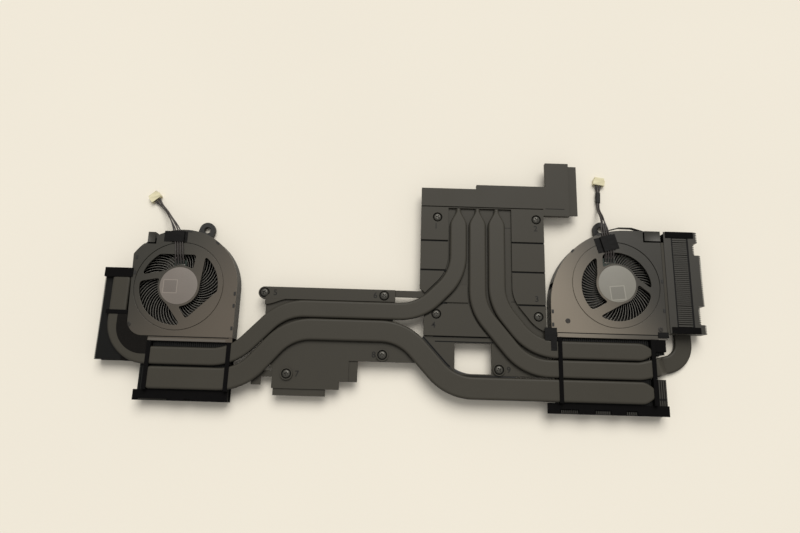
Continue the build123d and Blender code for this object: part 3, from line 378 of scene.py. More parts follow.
def labelled(name, colour, side, square, turn, rim=0.88, rough=0.5, dent=0.000005):
    made = Finish(name)
    hub = hubFrame[side]
    base = tone(*colour)
    left, right, low, high = square  # a plain square, in millimetres from the hub
    across = (made.axis("X") - hub.x * 0.001) * 1000.0
    rise = (made.axis("Y") - hub.y * 0.001) * 1000.0
    angle = math.radians(turn)
    along = across * math.cos(angle) + rise * math.sin(angle)
    beside = rise * math.cos(angle) - across * math.sin(angle)
    wide = abs(along - (left + right) / 2) / ((right - left) / 2)
    reach = wide.larger(abs(beside - (low + high) / 2) / ((high - low) / 2))
    fibre = made.noise(1500.0, detail=2.0)
    paper = made.between(made.noise(120.0, detail=2.0), base, 0.93, 1.06)
    inner = made.mix((reach < rim) * 0.35, paper, shaded(base, 0.62))
    return made.set(
        Base_Color=made.mix((reach < 1.0) * (reach > rim), inner, shaded(base, 1.4)),
        Roughness=rough + (fibre - 0.5) * 0.2,
        Normal=made.bump(fibre, dent),
    )


finishes = {
    # black pipe paint, with painted shade on the round sides
    "pipe": coated(
        "pipePaint", (63, 60, 53), rough=0.42, cloud=(40.0, 0.12), grain=(2400.0, 0.15), shine=0.15,
        edge=0.12,
    ),
    "plate": coated(
        "platePaint", (60, 57, 50), rough=0.5, cloud=(50.0, 0.1), grain=(1900.0, 0.18), dent=0.00001,
        shine=0.18,
    ),
    # the digits have the plate's paint, drawn darker as painted shade on them
    "number": coated(
        "numberPaint", (26, 25, 22), rough=0.5, cloud=(50.0, 0.1), grain=(1900.0, 0.18), dent=0.00001,
        shine=0.2,
    ),
    # the two fan covers have one paint: the left copy is darker as painted shade and the right copy lighter
    # as painted sheen, each with a painted sheen gradient
    "leftCover": coated(
        "leftCoverPaint", (90, 82, 72), rough=0.4, metal=0.2, cloud=(22.0, 0.12), grain=(2800.0, 0.12),
        fade=((-92, -38), (-136, 2), (54, 52, 46)),
    ),
    "rightCover": coated(
        "rightCoverPaint", (122, 113, 100), rough=0.4, metal=0.2, cloud=(22.0, 0.1), grain=(2800.0, 0.12),
        fade=((86, -24), (130, 6), (50, 48, 43)),
    ),
    # the right lip has the right cover's lit copy of the paint, darker towards the right as a painted sheen
    # gradient
    "rightLip": coated(
        "rightLipMetal", (120, 112, 100), rough=0.4, metal=0.2, cloud=(22.0, 0.1), grain=(2800.0, 0.12),
        fade=((88, -34), (136, -34), (70, 66, 59)),
    ),
    "tray": coated(
        "trayPlastic", (32, 31, 29), rough=0.5, cloud=(80.0, 0.1), grain=(3000.0, 0.18), dent=0.00001,
    ),
    "rivet": coated(
        "rivetBrown", (50, 47, 43), rough=0.4, metal=0.4, cloud=(200.0, 0.15), grain=(3000.0, 0.18),
        dent=0.00001,
    ),
    "fin": coated("finCoat", (13, 13, 11), rough=0.5, cloud=(90.0, 0.15), grain=(2400.0, 0.18), shine=0.2),
    "fold": coated(
        "finFoldCoat", (55, 53, 48), rough=0.42, metal=0.2, cloud=(60.0, 0.12), grain=(2400.0, 0.15),
    ),
    "copper": brushed("contactCopper", (196, 128, 88), rough=0.3, stretch=(1.0, 14.0, 1.0)),
    "screw": brushed("screwSteel", (74, 72, 66), rough=0.36, stretch=(3.0, 3.0, 1.0), metal=0.5),
    # near-black painted shade, used for the gap round each screw head and for grooves, seams, slots, the slit
    # and the lip's fold
    "collar": coated("screwCollar", (12, 12, 11), rough=0.6, shine=0.15),
    # black blade plastic with a painted highlight on the blade tops
    "blade": topHighlighted("bladePlastic", (14, 14, 13), upper=(122, 119, 112), height=0.0065),
    "cup": coated("cupPlastic", (22, 22, 22), rough=0.4),
    "shaft": brushed("shaftSteel", (190, 190, 188), rough=0.25, stretch=(1.0, 1.0, 12.0)),
    "magnet": coated(
        "magnetFerrite", (58, 56, 54), rough=0.6, metal=0.1, cloud=(200.0, 0.1), grain=(3000.0, 0.36),
    ),
    "bearing": brushed("bearingBronze", (168, 128, 74), rough=0.35, stretch=(1.0, 1.0, 10.0)),
    "stator": brushed("statorSteel", (120, 120, 124), rough=0.4, stretch=(1.0, 1.0, 30.0)),
    "board": coated("boardGreen", (22, 36, 28), rough=0.4, cloud=(120.0, 0.15), grain=(2600.0, 0.24)),
    "solder": brushed("solderTin", (190, 188, 180), rough=0.3, stretch=(2.0, 2.0, 2.0)),
    "lip": brushed("outletLip", (92, 86, 78), rough=0.42, stretch=(0.4, 9.0, 1.0), metal=0.1),
    "tape": taped("tapeBlack", (13, 12, 11), rough=0.5),
    "film": taped("filmBlack", (34, 32, 30), rough=0.3),
    "foam": foamed("foamBlack", (7, 6, 6)),
    "seal": foamed("sealBlack", (20, 18, 16)),
    "pad": foamed("padGrey", (122, 124, 126)),
    "wire": coated("wireJacket", (58, 53, 51), rough=0.42, cloud=(300.0, 0.1), grain=(3600.0, 0.18)),
    "sleeve": coated("sleeveBlack", (22, 21, 20), rough=0.5, cloud=(300.0, 0.12), grain=(3000.0, 0.24)),
    "plug": coated("plugCream", (214, 206, 172), rough=0.45, cloud=(160.0, 0.06), grain=(2400.0, 0.12)),
    "leftLabel": labelled("leftLabelPaper", (114, 106, 99), "left", square=(-8.3, -0.6, -4.2, 3.3), turn=0.0),
    "rightLabel": labelled(
        "rightLabelPaper", (124, 121, 112), "right", square=(-4.5, 3.6, -8.9, -1.1), turn=6.0,
    ),
}
print("stage: finishes", len(finishes))


# Shapes shared by the pieces, in drawing millimetres
def smoothed(mesh, sharp=35.0):
    mesh.shade_smooth()
    mesh.set_sharp_from_angle(angle=math.radians(sharp))
    return mesh


def piece(name, mesh, finish, nodes=(), body="root"):
    if finish:
        mesh.materials.clear()
        mesh.materials.append(finishes[finish].material)
    obj = placed(name, mesh)
    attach(obj, body)
    if nodes:
        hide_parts(*nodes)
    return obj


def drawn(mesh):
    mesh.transform(intoFrame)
    return mesh


def joined(meshes):
    return meshFrom(shapeFrom(*meshes), "joined")


def moved(mesh, x=0.0, y=0.0, z=0.0, turn=0.0):
    mesh.transform(Matrix.Translation((x, y, z)) @ Matrix.Rotation(math.radians(turn), 4, "Z"))
    return mesh


def arc(middle, radius, start, end, step=4.0):
    count = max(2, math.ceil(abs(end - start) / step) + 1)
    angles = [math.radians(start + (end - start) * i / (count - 1)) for i in range(count)]
    return [(middle[0] + radius * math.cos(a), middle[1] + radius * math.sin(a)) for a in angles]


def plate(loops, low, high, bevel, rounds=1, weld=0.0005):
    curve = bpy.data.curves.new("plate", "CURVE")
    curve.dimensions = "2D"
    curve.fill_mode = "BOTH"
    curve.extrude = (high - low) / 2 - bevel
    curve.bevel_depth = bevel
    curve.bevel_resolution = rounds
    curve.offset = -bevel
    for loop in loops:
        spline = curve.splines.new("POLY")
        spline.points.add(len(loop) - 1)
        for point, (x, y) in zip(spline.points, loop):
            point.co = (x, y, 0.0, 1.0)
        spline.use_cyclic_u = True
    shape = shapeFrom(settled(placed("plate", curve)))
    bmesh.ops.remove_doubles(shape, verts=shape.verts, dist=weld)
    return moved(meshFrom(shape, "plate"), z=(low + high) / 2)


def turned(profile, steps):
    shape = bmesh.new()
    rings = []
    for radius, height in profile:
        ring = arc((0.0, 0.0), radius, 0.0, 360.0, 360.0 / steps)[:-1] if radius else [(0.0, 0.0)]
        rings.append([shape.verts.new((x, y, height)) for x, y in ring])
    for near, far in zip(rings, rings[1:]):
        for i in range(steps):
            j = i + 1
            corners = [near[i % len(near)], near[j % len(near)], far[j % len(far)], far[i % len(far)]]
            unique = list(dict.fromkeys(corners))
            if len(unique) > 2:
                shape.faces.new(unique)
    bmesh.ops.recalc_face_normals(shape, faces=shape.faces)
    return meshFrom(shape, "turned")


def lofted(rings, name):
    shape = bmesh.new()
    loops = [[shape.verts.new(place) for place in ring] for ring in rings]
    for near, far in zip(loops, loops[1:]):
        for i in range(len(near)):
            shape.faces.new((near[i - 1], near[i], far[i], far[i - 1]))
    shape.faces.new(loops[0])
    shape.faces.new(loops[-1])
    bmesh.ops.recalc_face_normals(shape, faces=shape.faces)
    return meshFrom(shape, name)


def bevelled(mesh, width, rounds=2, angle=30.0):
    mesh.shade_smooth()
    obj = placed("bevelled", mesh)
    bevel = obj.modifiers.new("edge", "BEVEL")
    bevel.width = width
    bevel.segments = rounds
    bevel.limit_method = "ANGLE"
    bevel.angle_limit = math.radians(angle)
    normals = obj.modifiers.new("normals", "WEIGHTED_NORMAL")
    normals.keep_sharp = True
    return settled(obj)


def bar(low, high, edge):
    shape = bmesh.new()
    bmesh.ops.create_cube(shape, size=1.0)
    bmesh.ops.scale(shape, vec=[b - a for a, b in zip(low, high)], verts=shape.verts)
    bmesh.ops.translate(shape, vec=[(a + b) / 2 for a, b in zip(low, high)], verts=shape.verts)
    return bevelled(meshFrom(shape, "bar"), edge)


def slab(plan, low, high, edge):
    left, right, front, back = plan
    return bar((left, front, low), (right, back, high), edge)


def softened(node, width, angle=30.0, weld=0.003, flat=1.0):
    mesh = frame["nodes"][node].data.copy()
    if "custom_normal" in mesh.attributes:
        mesh.attributes.remove(mesh.attributes["custom_normal"])
    mesh.transform(toMillimetres)
    shape = shapeFrom(mesh)
    bmesh.ops.remove_doubles(shape, verts=shape.verts, dist=weld)
    bmesh.ops.dissolve_limit(shape, angle_limit=math.radians(flat), verts=shape.verts, edges=shape.edges)
    soft = bevelled(meshFrom(shape, node), width, angle=angle)
    soft.transform(toMetres)
    return soft


# Fan leads: four wires on each fan, from the board to a four-way plug
leadSizes = {
    "diameter": 0.75,
    "wires": 4,
    "middleWire": 1.5,
    "spanSteps": 10,
    "roundSteps": 3,
    "plugEdge": 0.14,
    "sleeveEdge": 0.1,
    "sleeveAngle": 20.0,
    "pairSide": (-0.5, -0.5, 0.5, 0.5),
    "pairRise": (-0.5, 0.5, 0.5, -0.5),
    "left": {
        "lengths": (47.5, 47.8, 48.5, 49.2),
        "spine": [
            (-118.8, -2.3, 8.095), (-119.2, 1.6, 9.645), (-120.0, 8.8, 9.495), (-121.6, 16.0, 9.595),
            (-126.2, 23.4, 9.0), (-131.6, 29.6, 3.6), (-136.3, 33.9, 1.25), (-139.1, 37.1, 1.1),
        ],
        "pitches": [1.4, 1.35, 1.25, 1.25, (1.0, 1.1), (0.84, 0.84), (0.9, 1.0), 1.25],
    },
    "right": {
        "lengths": (50.7, 50.5, 50.5, 51.1),
        "spine": [
            (113.6, 5.7, 8.095), (114.0, 10.4, 9.645), (112.8, 16.6, 9.495), (111.6, 23.4, 9.595),
            (111.2, 31.2, 8.0), (111.0, 37.0, 2.9), (111.4, 40.8, 1.3), (111.8, 49.6, 1.3),
            (112.4, 53.6, 1.1),
        ],
        "pitches": [1.4, 1.35, 1.25, 1.25, (1.0, 1.1), (0.84, 0.84), (0.84, 0.84), (0.9, 1.0), 1.25],
    },
}


def leadRoute(side, wire):
    spine = [Vector(point) for point in leadSizes[side]["spine"]]
    route = []
    for k, point in enumerate(spine):
        along = spine[min(k + 1, len(spine) - 1)] - spine[max(k - 1, 0)]
        beside = Vector((along.y, -along.x, 0.0)).normalized()
        pitch = leadSizes[side]["pitches"][k]
        if isinstance(pitch, tuple):  # two by two, with a pitch across and a pitch up
            shift = beside * pitch[0] * leadSizes["pairSide"][wire]
            shift = shift + Vector((0.0, 0.0, pitch[1] * leadSizes["pairRise"][wire]))
        else:  # side by side
            shift = beside * pitch * (wire - leadSizes["middleWire"])
        route.append(spot(*(point + shift)))
    return route


for side in sides:
    plugMesh = softened(f"{side}_plug", leadSizes["plugEdge"])
    piece(f"{side}PlugHousing", plugMesh, "plug", [f"{side}_plug"])
sleeveMesh = softened("right_wire_sleeve", leadSizes["sleeveEdge"], leadSizes["sleeveAngle"])
sleevePiece = piece("rightLeadSleeve", sleeveMesh, "sleeve", ["right_wire_sleeve"])
for side in sides:
    for wire in range(leadSizes["wires"]):
        route = leadRoute(side, wire)
        leadName = f"{side}Lead{wire + 1}"
        leadCurve = bpy.data.curves.new(leadName, "CURVE")
        leadCurve.dimensions = "3D"
        leadSpline = leadCurve.splines.new("NURBS")
        leadSpline.points.add(len(route) - 1)
        for point, place in zip(leadSpline.points, route):
            point.co = (*place, 1.0)
        leadSpline.order_u = 3
        leadSpline.use_endpoint_u = True
        leadSpline.resolution_u = leadSizes["spanSteps"]
        leadCurve.bevel_depth = leadSizes["diameter"] / 2000.0
        leadCurve.bevel_resolution = leadSizes["roundSteps"]
        leadCurve.use_fill_caps = True
        lead = piece(leadName, leadCurve, "wire", [f"{side}_fan_wire_{wire + 1}"])
print("stage: leads, plugs and sleeve")


# Heat pipes: flattened tubes with round sides along runs and bends, and four kinds of end
pipeSizes = {
    "half": 1.1,
    "level": 7.9,  # where a corner gives no height
    "arcStep": 5.0,
    "endSteps": (0.0, 0.25, 0.6, 1.0, 1.5, 2.0, 2.7, 3.5, 4.5, 5.5, 6.7, 8.0, 9.5, 11.0, 12.0),
    "leastStep": 0.02,
    "tip": {"length": 10.0, "share": 0.28, "start": 0.05, "span": 0.9},
    "nose": {"length": 7.4, "share": 0.32},
    "endRound": {"blunt": 2.2, "square": 0.5},
    "pinch": {"length": 0.6, "share": 0.12},
    "shoulder": 0.35,
    "sideStep": 30.0,
    "routes": {
        "left_pipe": {
            "width": 9.4, "ends": ("tip", "square"), "radii": [26.0] * 4 + [18.0],
            "corners": [
                (31.5, 34.0), (31.5, -3.5), (11.0, -24.3), (-61.0, -24.3), (-86.5, -51.0), (-148.8, -51.0),
                (-148.8, -10.0),
            ],
        },
        "bridge_pipe": {
            "width": 11.6, "ends": ("blunt", "nose"), "radii": [26.0] * 4,
            "corners": [
                (-130.0, -62.3), (-81.0, -62.3), (-57.4, -35.1), (2.5, -35.1), (28.1, -63.2), (134.2, -63.2),
            ],
        },
        "middle_pipe": {
            "width": 9.4, "ends": ("tip", "blunt"), "radii": [26.0, 26.0, 18.0, 3.0, 3.0, 11.5],
            "corners": [
                (41.95, 34.0), (41.95, -21.2), (67.4, -52.15), (127.0, -52.15), (135.8, -49.956),
                (142.0, -48.41, 1.1), (153.35, -45.58, 1.1), (153.35, 16.0, 1.1),
            ],
        },
        "right_pipe": {
            "width": 9.4, "ends": ("tip", "nose"), "radii": [26.0, 26.0],
            "corners": [(52.4, 34.0), (52.4, -18.5), (71.4, -42.2), (133.8, -42.2)],
        },
    },
}


def pipeLine(corners, radii):
    places = [Vector((*corner, pipeSizes["level"])[:3]) for corner in corners]
    line = [places[0]]
    for before, here, after, radius in zip(places, places[1:], places[2:], radii):
        arriving = (here - before).normalized()
        leaving = (after - here).normalized()
        bend = arriving.angle(leaving)
        inward = (leaving - arriving * math.cos(bend)).normalized()
        start = here - arriving * radius * math.tan(bend / 2)
        count = max(3, math.ceil(math.degrees(bend) / pipeSizes["arcStep"]))
        for i in range(count + 1):
            angle = bend * i / count
            line.append(start + radius * (math.sin(angle) * arriving + (1.0 - math.cos(angle)) * inward))
    line.append(places[-1])
    return line


def endShare(kind, distance, width):
    if kind == "tip":
        tip = pipeSizes["tip"]
        reach = min(1.0, max(0.0, (distance / tip["length"] - tip["start"]) / tip["span"]))
        return tip["share"] + (1.0 - tip["share"]) * reach * reach * (3.0 - 2.0 * reach)
    if kind == "nose":
        nose = pipeSizes["nose"]
        reach = min(1.0, distance / nose["length"])
        return nose["share"] + (1.0 - nose["share"]) * math.sin(reach * math.pi / 2)
    radius = pipeSizes["endRound"][kind]
    short = max(0.0, radius - distance)
    return 1.0 - 2.0 * (radius - math.sqrt(radius * radius - short * short)) / width


def pipeStations(line):
    runs = [(b - a).length for a, b in zip(line, line[1:])]
    total = sum(runs)
    marks = [0.0]
    for run in runs:
        marks.append(marks[-1] + run)
    ordered = sorted({*marks, *pipeSizes["endSteps"], *(total - step for step in pipeSizes["endSteps"])})
    pairs = zip(ordered, ordered[1:])
    clean = ordered[:1] + [far for near, far in pairs if far - near > pipeSizes["leastStep"]]
    stations = []
    for mark in clean:
        k = max(i for i in range(len(runs)) if marks[i] <= mark + 1e-6 or i == 0)
        share = (mark - marks[k]) / runs[k]
        stations.append((line[k].lerp(line[k + 1], min(1.0, share)), mark, total - mark))
    return stations


def pipeSection(half, thick):
    edge = min(thick, half)
    flat = max(0.0, half - edge - pipeSizes["shoulder"])
    angles = [math.radians(pipeSizes["sideStep"] * k) for k in range(-3, 4)]
    ring = []
    for hand in (1.0, -1.0):
        ring.append((hand * flat, -hand * thick))
        ring.extend((hand * (half - edge + edge * math.cos(a)), hand * thick * math.sin(a)) for a in angles)
        ring.append((hand * flat, hand * thick))
    return ring


pinch = pipeSizes["pinch"]
for node, pipe in pipeSizes["routes"].items():
    stations = pipeStations(pipeLine(pipe["corners"], pipe["radii"]))
    rings = []
    flats = []
    for k, (place, fromStart, toEnd) in enumerate(stations):
        before = stations[max(0, k - 1)][0]
        after = stations[min(len(stations) - 1, k + 1)][0]
        along = (after - before).normalized()
        beside = Vector((along.y, -along.x, 0.0)).normalized()
        above = beside.cross(along).normalized()
        ends = zip(pipe["ends"], (fromStart, toEnd))
        share = min(endShare(kind, distance, pipe["width"]) for kind, distance in ends)
        pressed = max(0.0, 1.0 - min(fromStart, toEnd) / pinch["length"])
        thick = pipeSizes["half"] * (1.0 - pinch["share"] * pressed)
        section = pipeSection(pipe["width"] * share / 2, thick)
        rings.append([place + beside * x + above * z for x, z in section])
        # share of each point that faces up; the pipe paint darkens the rest as painted shade on the round
        # sides
        flats.extend(max(0.0, z) / thick for x, z in section)
    pipeMesh = lofted(rings, node)
    pipeMesh.attributes.new("flat", "FLOAT", "POINT").data.foreach_set("value", flats)
    piece(node.replace("_p", "P"), drawn(smoothed(pipeMesh, sharp=40.0)), "pipe", [node])
print("stage: heat pipes")


# Pieces that keep their solid form, with softened edges: the finish, the slot and each node's edge width
softSizes = [
    ("plate", "plate_paint", {"gpu_frame": 0.22, "cpu_frame": 0.2, "vrm_plate": 0.2, "cpu_clamp_bar": 0.25}),
    ("copper", "contact_copper", {"gpu_cold_plate": 0.12, "cpu_cold_plate": 0.12}),
    ("pad", "pad_grey", {"memory_pads": 0.2}),
    ("foam", "foam_black", {"left_rear_straps": 0.15, "right_rear_straps": 0.15, "left_side_straps": 0.15}),
    ("foam", "foam_black", {"right_side_caps": 0.15, "left_front_gasket": 0.12, "right_front_gasket": 0.12}),
    ("seal", "foam_black", {"left_corner_seal": 0.12}),
    ("tape", "tape_black", {"right_corner_tapes": 0.08}),
    ("film", "tape_black", {"right_edge_film": 0.06}),
    ("tape", "tape_black", {"left_tape": 0.08, "right_tape": 0.08}),
    ("tray", "fan_tray", {"left_fan_base": 0.14, "right_fan_base": 0.14}),
    ("tray", "fan_tray", {"left_fan_ear": 0.25, "right_fan_ear": 0.25}),
]
motorSizes = {  # edge width, slot, and whether it turns
    "board": (0.06, "board_green", False),
    "stator": (0.1, "stator_steel", False),
    "bearing": (0.1, "bearing_bronze", False),
    "magnet": (0.1, "magnet_ferrite", True),
    "shaft": (0.12, "shaft_steel", True),
}


def softPiece(node, width, finish, body="root"):
    first, *others = node.split("_")
    name = first + "".join(word.capitalize() for word in others)
    piece(name, softened(node, width), finish, [node], body)


for finish, slot, widths in softSizes:
    for node, width in widths.items():
        softPiece(node, width, finish)
for side in sides:
    for part, (width, slot, turns) in motorSizes.items():
        softPiece(f"{side}_{part}", width, part, f"{side}_rotor" if turns else "root")
print("stage: softened pieces")


# One rule stamps a small shape at marked places, each with its own turn
stampRule = Rule("stamp", {"Shape": "Object", "Seed": "Int", "Play": "Float"})
stampShape = stampRule.add("GeometryNodeObjectInfo", {}, {"Object": stampRule.given("Shape")}, out="Geometry")
stampTurn = stampRule.add("GeometryNodeInputNamedAttribute", {"data_type": "FLOAT"}, {"Name": "turn"})
stampPlay = stampRule.add(
    "FunctionNodeRandomValue",
    {"data_type": "FLOAT"},
    {2: 0.0, 3: stampRule.given("Play"), "Seed": stampRule.given("Seed")},
    out=1,
)
stamped = stampRule.add(
    "GeometryNodeInstanceOnPoints",
    {},
    {
        "Points": stampRule.given("Geometry"),
        "Instance": stampShape,
        "Rotation": stampRule.vector(0.0, 0.0, stampTurn + stampPlay),
    },
)
stampRule.close(stamped)


def stamp(shape, places, finish, seed=1, play=0.0):
    marks = bpy.data.meshes.new("marks")
    marks.from_pydata([place[:3] for place in places], [], [])
    turns = marks.attributes.new("turn", "FLOAT", "POINT")
    turns.data.foreach_set("value", [math.radians(place[3]) for place in places])
    model = placed("stampShape", shape)
    mesh = stampRule.run({"Shape": model, "Seed": seed, "Play": play}, finish, marks)
    bpy.data.objects.remove(model)
    return smoothed(mesh, sharp=40.0)


# Captive screws: a pan head with a cross recess, in a dark ring that is painted shade for the gap round the
# head, and a thread below
screwSizes = {
    "head": 2.15,
    "rise": 1.6,
    "headLine": [(0.0, 1.0), (0.55, 0.98), (0.85, 0.84), (1.0, 0.55), (1.0, 0.0)],  # shares of head and rise
    "neck": 0.8,
    "facets": 28,
    "cross": {"long": 1.35, "wide": 0.34, "deep": 0.8, "over": 0.3, "foot": 0.42, "taper": 0.4},
    "thread": {"radius": 1.0, "root": 0.04, "top": 5.1, "end": 2.4, "pitch": 0.4, "lead": 0.12, "point": 0.8},
    "collar": [(2.2, 0.0), (2.62, 0.0), (2.62, 0.5), (2.32, 0.38), (2.2, 0.0)],
    "seed": 7,
    "play": 1.5,
    "seats": {"plate": 6.6, "bar": 7.2},
    "plate": [
        (20.0, 29.0), (74.5, 29.0), (20.0, -25.0), (74.5, -25.0), (-57.5, -58.5), (-8.0, -47.5),
        (53.2, -53.4),
    ],
    "bar": [(-72.0, -16.1), (-8.0, -16.1)],
}


def screwShape(seat):
    head, rise, neck = screwSizes["head"], screwSizes["rise"], screwSizes["neck"]
    cross, thread = screwSizes["cross"], screwSizes["thread"]
    height, end = thread["top"] - seat, thread["end"] - seat
    profile = [(head * across, rise * up) for across, up in screwSizes["headLine"]]
    profile += [(neck, 0.0), (neck, height)]
    while height > end + thread["pitch"]:
        profile.append((thread["radius"], height - thread["lead"]))
        profile.append((neck + thread["root"], height - thread["pitch"] / 2 - thread["lead"]))
        height -= thread["pitch"]
    profile += [(thread["radius"] * thread["point"], end), (0.0, end)]
    turns = [Matrix.Rotation(math.radians(90.0 * k), 3, "Z") for k in range(4)]
    rings = []
    for share, depth in ((1.0, rise + cross["over"]), (cross["foot"], rise - cross["deep"])):
        reach = cross["long"] * share
        thin = cross["wide"] * (1.0 - cross["taper"] + cross["taper"] * share)
        corners = [Vector((x, y, depth)) for x, y in ((reach, -thin), (reach, thin), (thin, thin))]
        rings.append([turn @ corner for turn in turns for corner in corners])
    cutter = placed("cross", lofted(rings, "cross"))
    screw = placed("screw", turned(profile, screwSizes["facets"]))
    cut = screw.modifiers.new("cross", "BOOLEAN")
    cut.operation = "DIFFERENCE"
    cut.object = cutter
    cut.solver = "EXACT"
    mesh = settled(screw)
    bpy.data.objects.remove(cutter)
    return mesh


screwMeshes = []
shadeRingMeshes = []
for group, seat in screwSizes["seats"].items():
    places = [(x, y, seat, 0.0) for x, y in screwSizes[group]]
    screwMeshes.append(stamp(screwShape(seat), places, "screw", screwSizes["seed"], screwSizes["play"]))
    shadeRingMeshes.append(stamp(turned(screwSizes["collar"], screwSizes["facets"]), places, "collar"))
screwMesh = smoothed(joined(screwMeshes), sharp=40.0)
piece("captiveScrews", drawn(screwMesh), "screw", ["captive_screws"])
shadeRingMesh = smoothed(joined(shadeRingMeshes), sharp=40.0)
piece("screwCollars", drawn(shadeRingMesh), "collar")

# Plain order numbers beside the screws, in the plate's paint drawn darker as painted shade
numberSizes = {
    "height": 4.4,
    "bold": 0.05,
    "rise": 0.1,
    "places": [
        ("1", 19.2, 23.7, 8.0), ("2", 74.0, 23.7, 8.0), ("3", 73.8, -15.6, 8.0), ("4", 18.6, -31.0, 8.0),
        ("5", -66.2, -16.1, 8.0), ("6", -12.7, -16.1, 8.0), ("7", -52.1, -58.5, 6.8),
        ("8", -12.5, -47.5, 6.8), ("9", 58.4, -53.4, 6.8),
    ],
}
numberMeshes = []
for digit, x, y, z in numberSizes["places"]:
    digitCurve = bpy.data.curves.new("digit", "FONT")
    digitCurve.body = digit
    digitCurve.size = numberSizes["height"]
    digitCurve.offset = numberSizes["bold"]
    digitCurve.align_x = "CENTER"
    digitCurve.align_y = "CENTER"
    digitCurve.extrude = numberSizes["rise"] / 2
    numberMeshes.append(moved(settled(placed("digit", digitCurve)), x, y, z))
piece("orderNumbers", drawn(joined(numberMeshes)), "number")

# Dark strips lie in the grooves across the graphics frame, and thin dark lines at edges that meet: painted
# shade where grooves and seams fall dark
shadeStripSizes = {
    "edge": 0.02,
    "half": 0.42,
    "heights": (7.28, 7.36),
    "rows": [
        (15.5, 11.1, 25.9), (15.5, 60.8, 78.5), (-1.0, 11.1, 25.9), (-1.0, 60.8, 78.5), (-19.0, 11.1, 25.9),
        (-19.0, 64.0, 78.5),
    ],
    "lines": [
        ((18.6, -37.1, 6.76), (49.2, -36.52, 6.86)), ((19.6, -39.7, 6.76), (50.4, -39.1, 6.84)),
        ((57.3, 23.9, 6.76), (60.6, 24.15, 6.84)), ((60.0, -17.35, 6.76), (63.3, -17.1, 6.84)),
        ((79.8, 35.35, 7.96), (90.4, 35.75, 8.02)),
    ],
}
shadeStrips = [bar(low, high, shadeStripSizes["edge"]) for low, high in shadeStripSizes["lines"]]
for y, left, right in shadeStripSizes["rows"]:
    plan = (left, right, y - shadeStripSizes["half"], y + shadeStripSizes["half"])
    shadeStrips.append(slab(plan, *shadeStripSizes["heights"], shadeStripSizes["edge"]))
piece("grooveBeads", drawn(joined(shadeStrips)), "collar")

# The clamp bar widens under its left screw, with a soft curve back to its own edge
flareSizes = {
    "left": -71.4, "run": 13.0, "front": -19.2, "drop": 3.2, "back": -17.0, "low": 6.82, "high": 7.96,
    "edge": 0.15, "steps": 12,
}
flareLeft, flareRun = flareSizes["left"], flareSizes["run"]
flare = [(flareLeft + flareRun, flareSizes["back"]), (flareLeft, flareSizes["back"])]
for step in range(flareSizes["steps"] + 1):
    share = step / flareSizes["steps"]
    fall = flareSizes["drop"] * (1.0 + math.cos(math.pi * share)) / 2.0
    flare.append((flareLeft + flareRun * share, flareSizes["front"] - fall))
flareMesh = plate([flare], flareSizes["low"], flareSizes["high"], flareSizes["edge"])
piece("clampFlare", drawn(smoothed(flareMesh, sharp=15.0)), "plate")

# A dark strip closes the slit between the power plate and the bridge pipe, with a darker line at the plate:
# painted shade where the slit falls dark
slitSizes = {
    "slitStrip": {
        "reach": (4.8, 7.25), "span": (8.5, 62.0), "low": 6.0, "high": 6.7, "edge": 0.04, "finish": "tray",
    },
    "slitLine": {
        "reach": (6.3, 7.0), "span": (8.5, 24.0), "low": 6.6, "high": 6.86, "edge": 0.04, "finish": "collar",
    },
}
bridge = pipeSizes["routes"]["bridge_pipe"]
bridgeLine = [place.xy for place in pipeLine(bridge["corners"], bridge["radii"])]
for slitName, slit in slitSizes.items():
    slitSides = [[], []]
    start, end = slit["span"]
    for before, place, after in zip(bridgeLine, bridgeLine[1:], bridgeLine[2:]):
        along = (after - before).normalized()
        if start < place.x < end:
            for row, reach in zip(slitSides, slit["reach"]):
                row.append((place.x - along.y * reach, place.y + along.x * reach))
    if end > bridgeLine[-2].x:  # on along the straight run
        for row, reach in zip(slitSides, slit["reach"]):
            row.append((end, bridgeLine[-1].y + reach))
    slitMesh = plate([slitSides[0] + slitSides[1][::-1]], slit["low"], slit["high"], slit["edge"])
    piece(slitName, drawn(smoothed(slitMesh, sharp=30.0)), slit["finish"])
print("stage: screws, numbers and beads")


# Fins: a rule that sets folded fins side by side
finRule = Rule(
    "finRow",
    {
        "Count": "Int", "Pitch": "Float", "Sheet": "Float", "Depth": "Float", "Height": "Float",
        "Line": "Float", "Fold": "Float", "Foot": "Float",
    },
)
finPitch, finSheet, finDepth, finHeight, finFold, finFoot = (
    finRule.given(label) for label in ("Pitch", "Sheet", "Depth", "Height", "Fold", "Foot")
)
foldWide = finPitch - finRule.given("Line")
webPart = finRule.box((finSheet, finDepth, finHeight), (finSheet * 0.5, finDepth * 0.5, finHeight * 0.5))
topPart = finRule.box(
    (foldWide, finDepth - finFold, finSheet),
    (foldWide * 0.5, (finDepth + finFold) * 0.5, finHeight - finSheet * 0.5),
)
footPart = finRule.box(
    (foldWide, finDepth - finFoot, finSheet),
    (foldWide * 0.5, (finDepth + finFoot) * 0.5, finSheet * 0.5),
)
finOne = finRule.add("GeometryNodeJoinGeometry", {}, {"Geometry": [webPart, topPart, footPart]})
finAlong = finRule.vector(finRule.add("GeometryNodeInputIndex") * finPitch, 0.0, 0.0)
finPlaces = finRule.add("GeometryNodePoints", {}, {"Count": finRule.given("Count"), "Position": finAlong})
finRule.close(finRule.add("GeometryNodeInstanceOnPoints", {}, {"Points": finPlaces, "Instance": finOne}))

